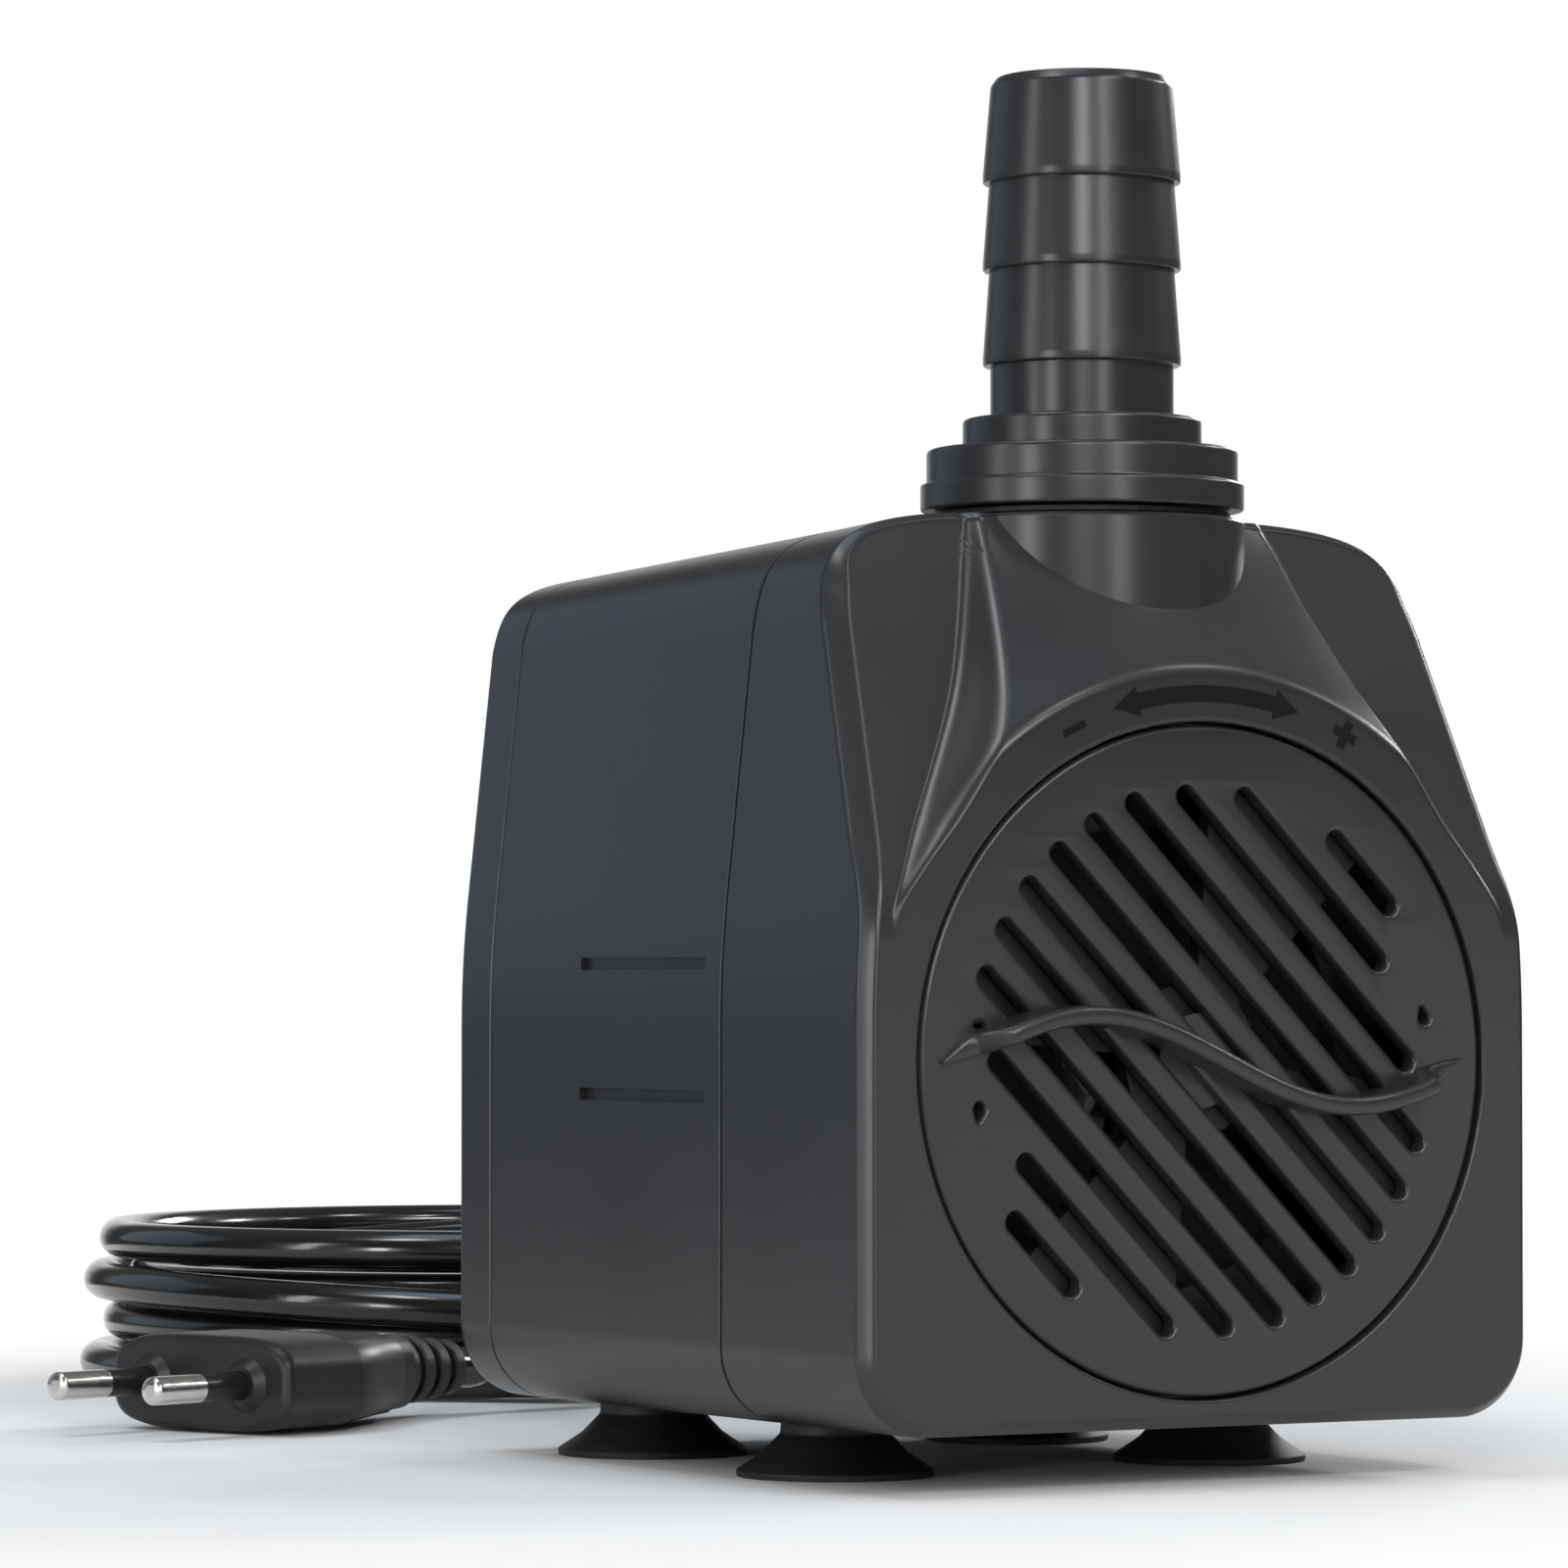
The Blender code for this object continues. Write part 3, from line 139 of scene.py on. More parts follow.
class Nodes:
    """Adds the nodes that the shared groups, the materials and the studio have in common."""

    @staticmethod
    def feed(tree: bpy.types.NodeTree, value: object, target: bpy.types.NodeSocket) -> None:
        """Link a socket to an input, or set a plain value on it.

        Args:
            tree: The node tree.
            value: A socket, a number or a colour with its alpha.
            target: The input that takes it.
        """
        if isinstance(value, bpy.types.NodeSocket):
            tree.links.new(value, target)
        else:
            target.default_value = value

    @classmethod
    def math(
        cls, tree: bpy.types.NodeTree, operation: str, first: object, second: object
    ) -> bpy.types.NodeSocket:
        """Add a Math node.

        Args:
            tree: The node tree.
            operation: Blender's name of the operation.
            first: A socket or a number.
            second: A socket or a number.

        Returns:
            The node's output socket.
        """
        node = tree.nodes.new("ShaderNodeMath")
        node.operation = operation
        cls.feed(tree, first, node.inputs[0])
        cls.feed(tree, second, node.inputs[1])
        return node.outputs[0]

    @staticmethod
    def ramp(
        tree: bpy.types.NodeTree, value: bpy.types.NodeSocket, span: Point2, result: Point2 = (0.0, 1.0)
    ) -> bpy.types.NodeSocket:
        """Stretch a range of a value smoothly to another range.

        Args:
            tree: The node tree.
            value: The socket that is read.
            span: The range that is stretched.
            result: What the ends of the range become.

        Returns:
            The stretched value.
        """
        node = tree.nodes.new("ShaderNodeMapRange")
        node.interpolation_type = "SMOOTHSTEP"
        node.inputs["From Min"].default_value, node.inputs["From Max"].default_value = span
        node.inputs["To Min"].default_value, node.inputs["To Max"].default_value = result
        tree.links.new(value, node.inputs["Value"])
        return node.outputs["Result"]


class EffectLibrary:
    """Builds each shared node group once and hands it out."""

    def __init__(self) -> None:
        """Start with no groups built."""
        self._built: dict[Effect, bpy.types.NodeTree] = {}

    def get(self, effect: Effect) -> bpy.types.NodeTree:
        """Find or build a group.

        Args:
            effect: The effect that is wanted.

        Returns:
            The node group.
        """
        if effect not in self._built:
            makers = {
                Effect.MOULDED_GRAIN: self._moulded_grain,
                Effect.SETTLED_DUST: self._settled_dust,
                Effect.DRAWN_LINES: self._drawn_lines,
            }
            self._built[effect] = makers[effect]()
        return self._built[effect]

    @staticmethod
    def _start(
        name: str, inputs: Sequence[tuple[str, float]], outputs: Sequence[str]
    ) -> tuple[bpy.types.NodeTree, bpy.types.Node, bpy.types.Node]:
        """Make an empty group with number sockets.

        Args:
            name: Name of the group.
            inputs: Name and default of each input.
            outputs: Name of each output.

        Returns:
            The group, its input node and its output node.
        """
        tree = bpy.data.node_groups.new(name, "ShaderNodeTree")
        for label, value in inputs:
            socket = tree.interface.new_socket(label, in_out="INPUT", socket_type="NodeSocketFloat")
            socket.default_value = value
        for label in outputs:
            tree.interface.new_socket(label, in_out="OUTPUT", socket_type="NodeSocketFloat")
        return tree, tree.nodes.new("NodeGroupInput"), tree.nodes.new("NodeGroupOutput")

    def _moulded_grain(self) -> bpy.types.NodeTree:
        """Fine grain of a spark-eroded mould, and slow changes of tone.

        Returns:
            The group's node tree.
        """
        tree, inside, outside = self._start(
            "moulded_grain", (("Grain Scale", 1800.0), ("Tone Scale", 30.0)), ("Height", "Tone")
        )
        place = tree.nodes.new("ShaderNodeTexCoord").outputs["Object"]
        fine = tree.nodes.new("ShaderNodeTexNoise")
        fine.inputs["Detail"].default_value = 3.0
        fine.inputs["Roughness"].default_value = 0.6
        pits = tree.nodes.new("ShaderNodeTexVoronoi")
        pits.feature = "SMOOTH_F1"
        slow = tree.nodes.new("ShaderNodeTexNoise")
        slow.inputs["Detail"].default_value = 4.0
        for node in (fine, pits, slow):
            tree.links.new(place, node.inputs["Vector"])
        tree.links.new(inside.outputs["Grain Scale"], fine.inputs["Scale"])
        tree.links.new(inside.outputs["Grain Scale"], pits.inputs["Scale"])
        tree.links.new(inside.outputs["Tone Scale"], slow.inputs["Scale"])
        height = Nodes.math(tree, "MULTIPLY", pits.outputs["Distance"], 0.45)
        height = Nodes.math(tree, "ADD", height, fine.outputs[0])
        tree.links.new(height, outside.inputs["Height"])
        tree.links.new(Nodes.ramp(tree, slow.outputs[0], (0.3, 0.7)), outside.inputs["Tone"])
        return tree

    def _settled_dust(self) -> bpy.types.NodeTree:
        """Mask of a thin film on what faces up.

        Returns:
            The group's node tree.
        """
        tree, inside, outside = self._start("settled_dust", (("Cloud Scale", 45.0),), ("Mask",))
        normal = tree.nodes.new("ShaderNodeNewGeometry").outputs["Normal"]
        split = tree.nodes.new("ShaderNodeSeparateXYZ")
        tree.links.new(normal, split.inputs[0])
        upward = Nodes.ramp(tree, split.outputs["Z"], (0.35, 0.95))
        clouds = tree.nodes.new("ShaderNodeTexNoise")
        clouds.inputs["Detail"].default_value = 6.0
        place = tree.nodes.new("ShaderNodeTexCoord").outputs["Object"]
        tree.links.new(place, clouds.inputs["Vector"])
        tree.links.new(inside.outputs["Cloud Scale"], clouds.inputs["Scale"])
        film = Nodes.ramp(tree, clouds.outputs[0], (0.3, 0.75))
        tree.links.new(Nodes.math(tree, "MULTIPLY", upward, film), outside.inputs["Mask"])
        return tree

    def _drawn_lines(self) -> bpy.types.NodeTree:
        """Fine lines along a piece's X axis, as drawing, rolling or lacing leaves them.

        Returns:
            The group's node tree.
        """
        tree, inside, outside = self._start(
            "drawn_lines", (("Line Scale", 2500.0), ("Stretch", 0.02)), ("Height", "Tone")
        )
        place = tree.nodes.new("ShaderNodeTexCoord").outputs["Object"]
        split = tree.nodes.new("ShaderNodeSeparateXYZ")
        tree.links.new(place, split.inputs[0])
        stretched = Nodes.math(tree, "MULTIPLY", split.outputs["X"], inside.outputs["Stretch"])
        gather = tree.nodes.new("ShaderNodeCombineXYZ")
        tree.links.new(stretched, gather.inputs["X"])
        tree.links.new(split.outputs["Y"], gather.inputs["Y"])
        tree.links.new(split.outputs["Z"], gather.inputs["Z"])
        lines = tree.nodes.new("ShaderNodeTexNoise")
        lines.inputs["Detail"].default_value = 4.0
        tree.links.new(gather.outputs[0], lines.inputs["Vector"])
        tree.links.new(inside.outputs["Line Scale"], lines.inputs["Scale"])
        tree.links.new(lines.outputs[0], outside.inputs["Height"])
        tree.links.new(Nodes.ramp(tree, lines.outputs[0], (0.35, 0.65)), outside.inputs["Tone"])
        return tree


@dataclass(frozen=True)
class Finish:
    """A finish: what the shader's sockets hold, and how strong each shared effect is."""

    name: str
    colour: Colour
    roughness: float
    metallic: float = 0.0
    specular: float = 0.5
    coat: float = 0.0
    coat_roughness: float = 0.1
    grain_scale: float = 1800.0
    grain_depth: float = 0.04
    tone_scale: float = 30.0
    tone_spread: float = 0.10
    roughness_spread: float = 0.06
    dust: float = 0.0
    dust_colour: Colour = (0.20, 0.20, 0.20)
    lines: bool = False
    line_scale: float = 2500.0

    def material(self, effects: EffectLibrary) -> bpy.types.Material:
        """Build the finish as a material.

        Args:
            effects: Library of the shared node groups.

        Returns:
            The material.
        """
        made = bpy.data.materials.new(self.name)
        made.use_nodes = True
        made.diffuse_color = (*self.colour, 1.0)
        tree = made.node_tree
        shader = tree.nodes["Principled BSDF"]
        shader.inputs["Metallic"].default_value = self.metallic
        shader.inputs["Specular IOR Level"].default_value = self.specular
        shader.inputs["Coat Weight"].default_value = self.coat
        shader.inputs["Coat Roughness"].default_value = self.coat_roughness
        effect = Effect.DRAWN_LINES if self.lines else Effect.MOULDED_GRAIN
        surface = self._place(tree, effects.get(effect))
        if self.lines:
            surface.inputs["Line Scale"].default_value = self.line_scale
        else:
            surface.inputs["Grain Scale"].default_value = self.grain_scale
            surface.inputs["Tone Scale"].default_value = self.tone_scale
        tone = surface.outputs["Tone"]
        colour = self._mix(tree, tone, self._shade(1 - self.tone_spread), self._shade(1 + self.tone_spread))
        if self.dust > 0:
            mask = self._place(tree, effects.get(Effect.SETTLED_DUST)).outputs["Mask"]
            film = Nodes.math(tree, "MULTIPLY", mask, self.dust)
            colour = self._mix(tree, film, colour, (*self.dust_colour, 1.0))
        tree.links.new(colour, shader.inputs["Base Color"])
        spread = tree.nodes.new("ShaderNodeMapRange")
        spread.inputs["To Min"].default_value = max(0.02, self.roughness - self.roughness_spread)
        spread.inputs["To Max"].default_value = min(1.0, self.roughness + self.roughness_spread)
        tree.links.new(tone, spread.inputs["Value"])
        tree.links.new(spread.outputs["Result"], shader.inputs["Roughness"])
        bump = tree.nodes.new("ShaderNodeBump")
        bump.inputs["Strength"].default_value = 1.0
        bump.inputs["Distance"].default_value = self.grain_depth * MM
        tree.links.new(surface.outputs["Height"], bump.inputs["Height"])
        tree.links.new(bump.outputs["Normal"], shader.inputs["Normal"])
        return made

    def _shade(self, factor: float) -> tuple[float, ...]:
        """The finish's colour made lighter or darker, with its alpha."""
        return (*(min(1.0, value * factor) for value in self.colour), 1.0)

    @staticmethod
    def _place(tree: bpy.types.NodeTree, group: bpy.types.NodeTree) -> bpy.types.Node:
        """Place a shared group in a material.

        Args:
            tree: The material's node tree.
            group: The shared group.

        Returns:
            The new group node.
        """
        node = tree.nodes.new("ShaderNodeGroup")
        node.node_tree = group
        return node

    @staticmethod
    def _mix(
        tree: bpy.types.NodeTree, factor: bpy.types.NodeSocket, first: object, second: object
    ) -> bpy.types.NodeSocket:
        """Mix two colours by a mask.

        Args:
            tree: The material's node tree.
            factor: Mask, where 1 gives the second colour.
            first: A socket or a colour with its alpha.
            second: A socket or a colour with its alpha.

        Returns:
            The mixed colour's socket.
        """
        node = tree.nodes.new("ShaderNodeMix")
        node.data_type = "RGBA"
        tree.links.new(factor, node.inputs["Factor"])
        for label, value in (("A_Color", first), ("B_Color", second)):
            target = next(socket for socket in node.inputs if socket.identifier == label)
            Nodes.feed(tree, value, target)
        return next(socket for socket in node.outputs if socket.identifier == "Result_Color")


class Finishes:
    """Every finish of the pump, built as a material when first asked for."""

    HOUSING = Finish(
        "charcoal_plastic", (0.021, 0.0215, 0.0235), 0.30, grain_depth=0.003, tone_spread=0.04,
        roughness_spread=0.02, dust=0.05,
    )
    DIAL = Finish(
        "dial_plastic", (0.022, 0.022, 0.0235), 0.29, grain_depth=0.003, tone_spread=0.03,
        roughness_spread=0.014,
    )
    MARK = Finish("mark_ink", (0.006, 0.006, 0.0065), 0.55, specular=0.15, grain_depth=0.002)
    # Intake plate seen through the dial's slots: its colour is darker than the housing's as painted shade of
    # the recess behind the dial.
    SHADED_GRILLE = Finish("grille_plastic_painted_shade", (0.013, 0.013, 0.0138), 0.45, specular=0.35, grain_depth=0.004)
    INNER = Finish("inner_plastic", (0.009, 0.009, 0.0095), 0.6, specular=0.3, grain_depth=0.004)
    RUBBER = Finish(
        "foot_rubber", (0.0075, 0.0075, 0.008), 0.55, grain_scale=2600.0, grain_depth=0.02, dust=0.06,
    )
    CORD = Finish(
        "cord_sheath", (0.006, 0.006, 0.0065), 0.2, coat=0.35, coat_roughness=0.08,
        grain_scale=500.0, grain_depth=0.02, tone_scale=60.0,
    )
    PLUG = Finish(
        "plug_vinyl", (0.010, 0.010, 0.0105), 0.42, grain_scale=2400.0, grain_depth=0.015,
    )
    SLEEVE = Finish("pin_sleeve", (0.010, 0.010, 0.010), 0.35, grain_depth=0.005)
    NICKEL = Finish(
        "pin_nickel", (0.66, 0.65, 0.62), 0.22, metallic=1.0, grain_depth=0.004, lines=True, tone_spread=0.06,
        roughness_spread=0.04,
    )
    WHITE = Finish("rotor_plastic", (0.62, 0.62, 0.59), 0.42, grain_depth=0.012, tone_spread=0.04)
    FERRITE = Finish(
        "ferrite", (0.045, 0.043, 0.041), 0.55, metallic=0.3, grain_scale=900.0, grain_depth=0.05,
    )
    CERAMIC = Finish("shaft_ceramic", (0.80, 0.79, 0.75), 0.15, grain_depth=0.004, tone_spread=0.03)
    STEEL = Finish("core_steel", (0.42, 0.42, 0.43), 0.38, metallic=1.0, grain_depth=0.02, lines=True)
    COPPER = Finish("winding_copper", (0.72, 0.34, 0.16), 0.35, metallic=1.0, grain_depth=0.08, lines=True)

    def __init__(self) -> None:
        """Start with no materials built."""
        self._effects = EffectLibrary()
        self._built: dict[str, bpy.types.Material] = {}

    def get(self, finish: Finish) -> bpy.types.Material:
        """Find or build the material of a finish."""
        if finish.name not in self._built:
            self._built[finish.name] = finish.material(self._effects)
        return self._built[finish.name]


class Sculptor:
    """Makes meshes from rings, turned profiles, flat outlines and cuts."""

    @staticmethod
    def from_arrays(name: str, points: np.ndarray, faces: Sequence[Sequence[int]]) -> bpy.types.Object:
        """Make an object in the scene.

        Args:
            name: Name of the piece.
            points: Its corners.
            faces: Corner numbers of each face.

        Returns:
            The new object.
        """
        mesh = bpy.data.meshes.new(name)
        mesh.from_pydata(np.asarray(points, dtype=float).tolist(), [], faces)
        mesh.validate()
        mesh.update()
        item = bpy.data.objects.new(name, mesh)
        bpy.context.scene.collection.objects.link(item)
        return item

    @classmethod
    def skin(
        cls, name: str, rings: Sequence[np.ndarray], cap: bool = True, loop: bool = False
    ) -> bpy.types.Object:
        """Stretch a closed skin over rings that have the same number of points.

        Args:
            name: Name of the piece.
            rings: The rings, in order.
            cap: Whether the first and last ring are filled.
            loop: Whether the last ring joins the first.

        Returns:
            The new object, with its faces pointing outward.
        """
        count = len(rings[0])
        rows = len(rings)
        points = np.concatenate([np.asarray(ring, dtype=float) for ring in rings])
        faces: list[list[int]] = []
        for row in range(rows if loop else rows - 1):
            first = row * count
            second = ((row + 1) % rows) * count
            for index in range(count):
                after = (index + 1) % count
                faces.append([first + index, first + after, second + after, second + index])
        if cap and not loop:
            faces.append(list(range(count - 1, -1, -1)))
            faces.append(list(range((rows - 1) * count, rows * count)))
        item = cls.from_arrays(name, points, faces)
        return cls.weld(item)

    @staticmethod
    def weld(item: bpy.types.Object, distance: float = MERGE_DISTANCE) -> bpy.types.Object:
        """Merge corners that coincide and turn the faces outward.

        Args:
            item: The object.
            distance: Corners nearer than this are merged.

        Returns:
            The same object.
        """
        shape = bmesh.new()
        shape.from_mesh(item.data)
        bmesh.ops.remove_doubles(shape, verts=shape.verts, dist=distance)
        bmesh.ops.recalc_face_normals(shape, faces=shape.faces)
        shape.to_mesh(item.data)
        shape.free()
        return item

    @classmethod
    def turned(
        cls, name: str, profile: Sequence[Point2], place: Point3, steps: int = 96, along_depth: bool = False
    ) -> bpy.types.Object:
        """Turn a profile round an axis.

        Args:
            name: Name of the piece.
            profile: Closed or axis-ended line of (radius, height) points.
            place: Where the axis starts.
            steps: Number of steps round.
            along_depth: Whether the axis runs along +Y and not +Z.

        Returns:
            The new object.
        """
        angles = np.linspace(0, 2 * math.pi, steps, endpoint=False)
        rings = []
        for radius, height in profile:
            across = np.stack([radius * np.cos(angles), radius * np.sin(angles)], axis=1)
            rise = np.full(steps, height)
            if along_depth:
                ring = np.stack([across[:, 0], rise, -across[:, 1]], axis=1)
            else:
                ring = np.stack([across[:, 0], across[:, 1], rise], axis=1)
            rings.append(ring + np.array(place))
        on_axis = profile[0][0] < 1e-9 and profile[-1][0] < 1e-9
        return cls.skin(name, rings, cap=False, loop=not on_axis)

    @staticmethod
    def rounded(points: Sequence[Point3], steps: int = 5) -> list[Point2]:
        """Round the corners of a line.

        Args:
            points: The line's points, each with the radius of its corner.
            steps: Steps round each corner.

        Returns:
            The rounded line.
        """
        line: list[Point2] = []
        for index, (x, y, radius) in enumerate(points):
            if radius <= 0 or index in (0, len(points) - 1):
                line.append((x, y))
                continue
            corner = Vector((x, y))
            before = Vector(points[index - 1][:2]) - corner
            after = Vector(points[index + 1][:2]) - corner
            half = before.angle(after) / 2
            reach = min(radius / math.tan(half), before.length * 0.49, after.length * 0.49)
            start = corner + before.normalized() * reach
            end = corner + after.normalized() * reach
            for step in range(steps + 1):
                t = step / steps
                bend = start * (1 - t) ** 2 + corner * 2 * t * (1 - t) + end * t * t
                line.append((bend.x, bend.y))
        return line

    @classmethod
    def flat(
        cls, name: str, loops: Sequence[Sequence[Point2]], thickness: float, bevel: float, place: Point3
    ) -> bpy.types.Object:
        """Make a plate that faces -Y, with rounded edges, from outlines in x and z.

        Args:
            name: Name of the piece.
            loops: The outer outline and the holes.
            thickness: Thickness along Y.
            bevel: Radius of the rounded edges.
            place: Centre of the plate.

        Returns:
            The new object.
        """
        curve = bpy.data.curves.new(name, "CURVE")
        curve.dimensions = "2D"
        curve.fill_mode = "BOTH"
        curve.extrude = thickness / 2 - bevel
        curve.bevel_depth = bevel
        curve.bevel_resolution = 2
        curve.offset = -bevel
        for loop in loops:
            spline = curve.splines.new("POLY")
            spline.points.add(len(loop) - 1)
            for point, (x, z) in zip(spline.points, loop):
                point.co = (x, z, 0, 1)
            spline.use_cyclic_u = True
        holder = bpy.data.objects.new(name, curve)
        bpy.context.scene.collection.objects.link(holder)
        bpy.context.view_layer.update()
        graph = bpy.context.evaluated_depsgraph_get()
        mesh = bpy.data.meshes.new_from_object(holder.evaluated_get(graph))
        bpy.data.objects.remove(holder, do_unlink=True)
        bpy.data.curves.remove(curve)
        mesh.transform(Matrix.Translation(place) @ Matrix.Rotation(math.pi / 2, 4, "X"))
        item = bpy.data.objects.new(name, mesh)
        bpy.context.scene.collection.objects.link(item)
        return cls.weld(item)

    @classmethod
    def block(cls, name: str, low: Point3, high: Point3) -> bpy.types.Object:
        """Make a cutting block between two corners.

        Args:
            name: The block's name.
            low: The corner with the smallest values.
            high: The corner with the largest values.

        Returns:
            The block.
        """
        xs, ys, zs = zip(low, high)
        ring = [(xs[0], ys[0]), (xs[1], ys[0]), (xs[1], ys[1]), (xs[0], ys[1])]
        return cls.skin(name, [np.array([(x, y, z) for x, y in ring]) for z in zs])

    @classmethod
    def rod(
        cls, name: str, radius: float, start: Point3, length: float, along_depth: bool, steps: int = 96
    ) -> bpy.types.Object:
        """Make a cutting rod along +Y or +Z."""
        profile = [(0.0, 0.0), (radius, 0.0), (radius, length), (0.0, length)]
        return cls.turned(name, profile, start, steps, along_depth)

    @classmethod
    def cut(cls, target: bpy.types.Object, tool: bpy.types.Object) -> None:
        """Cut a tool's shape out of a piece."""
        cls._shape_by(target, tool, "DIFFERENCE")

    @classmethod
    def join(cls, target: bpy.types.Object, tool: bpy.types.Object) -> None:
        """Join a tool's shape to a piece."""
        cls._shape_by(target, tool, "UNION")

    @staticmethod
    def _shape_by(target: bpy.types.Object, tool: bpy.types.Object, operation: str) -> None:
        """Cut or join a piece by a tool, which is used up.

        Args:
            target: The piece.
            tool: The other solid.
            operation: DIFFERENCE or UNION.
        """
        step = target.modifiers.new("shape", "BOOLEAN")
        step.operation = operation
        step.object = tool
        step.solver = "MANIFOLD"
        bpy.context.view_layer.update()
        graph = bpy.context.evaluated_depsgraph_get()
        mesh = bpy.data.meshes.new_from_object(target.evaluated_get(graph))
        target.modifiers.clear()
        spent = target.data
        target.data = mesh
        bpy.data.meshes.remove(spent)
        bpy.data.objects.remove(tool, do_unlink=True)

    @staticmethod
    def smooth(item: bpy.types.Object, angle: float = 32.0) -> bpy.types.Object:
        """Shade smoothly, except across edges sharper than an angle in degrees.

        Args:
            item: The piece to shade.
            angle: The largest angle that still shades smoothly.

        Returns:
            The same piece.
        """
        shape = bmesh.new()
        shape.from_mesh(item.data)
        bmesh.ops.dissolve_degenerate(shape, dist=MERGE_DISTANCE, edges=shape.edges)
        shape.to_mesh(item.data)
        shape.free()
        item.data.shade_smooth()
        item.data.set_sharp_from_angle(angle=math.radians(angle))
        even = item.modifiers.new("even_normals", "WEIGHTED_NORMAL")
        even.keep_sharp = True
        even.weight = 90
        return item

    @staticmethod
    def arc(centre: Point2, radius: float, start: float, end: float, count: int) -> list[Point2]:
        """Points of an arc with both ends, angles in degrees."""
        angles = np.radians(np.linspace(start, end, count))
        return [(centre[0] + radius * math.cos(a), centre[1] + radius * math.sin(a)) for a in angles]

    @staticmethod
    def ease(share: np.ndarray | float) -> np.ndarray | float:
        """A share from 0 to 1 with a soft start and a soft end."""
        return share * share * (3 - 2 * share)


class Workshop:
    """Holds what every sub-assembly needs, and dresses and seats finished pieces."""

    def __init__(self) -> None:
        """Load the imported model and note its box."""
        self.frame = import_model()
        self.cad_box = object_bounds()
        self.finishes = Finishes()

    def dress(
        self, item: bpy.types.Object, finish: Finish, body: Body, slot: Slot, replaces: Iterable[str] = ()
    ) -> bpy.types.Object:
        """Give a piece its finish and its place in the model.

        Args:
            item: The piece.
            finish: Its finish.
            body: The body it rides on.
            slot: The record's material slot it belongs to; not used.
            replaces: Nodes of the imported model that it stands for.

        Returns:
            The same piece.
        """
        item.data.materials.clear()
        item.data.materials.append(self.finishes.get(finish))
        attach(item, body.value)
        names = tuple(replaces)
        if names:
            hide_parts(*names)
        LOG.info("%s: %s on %s", item.name, finish.name, body.value)
        return item


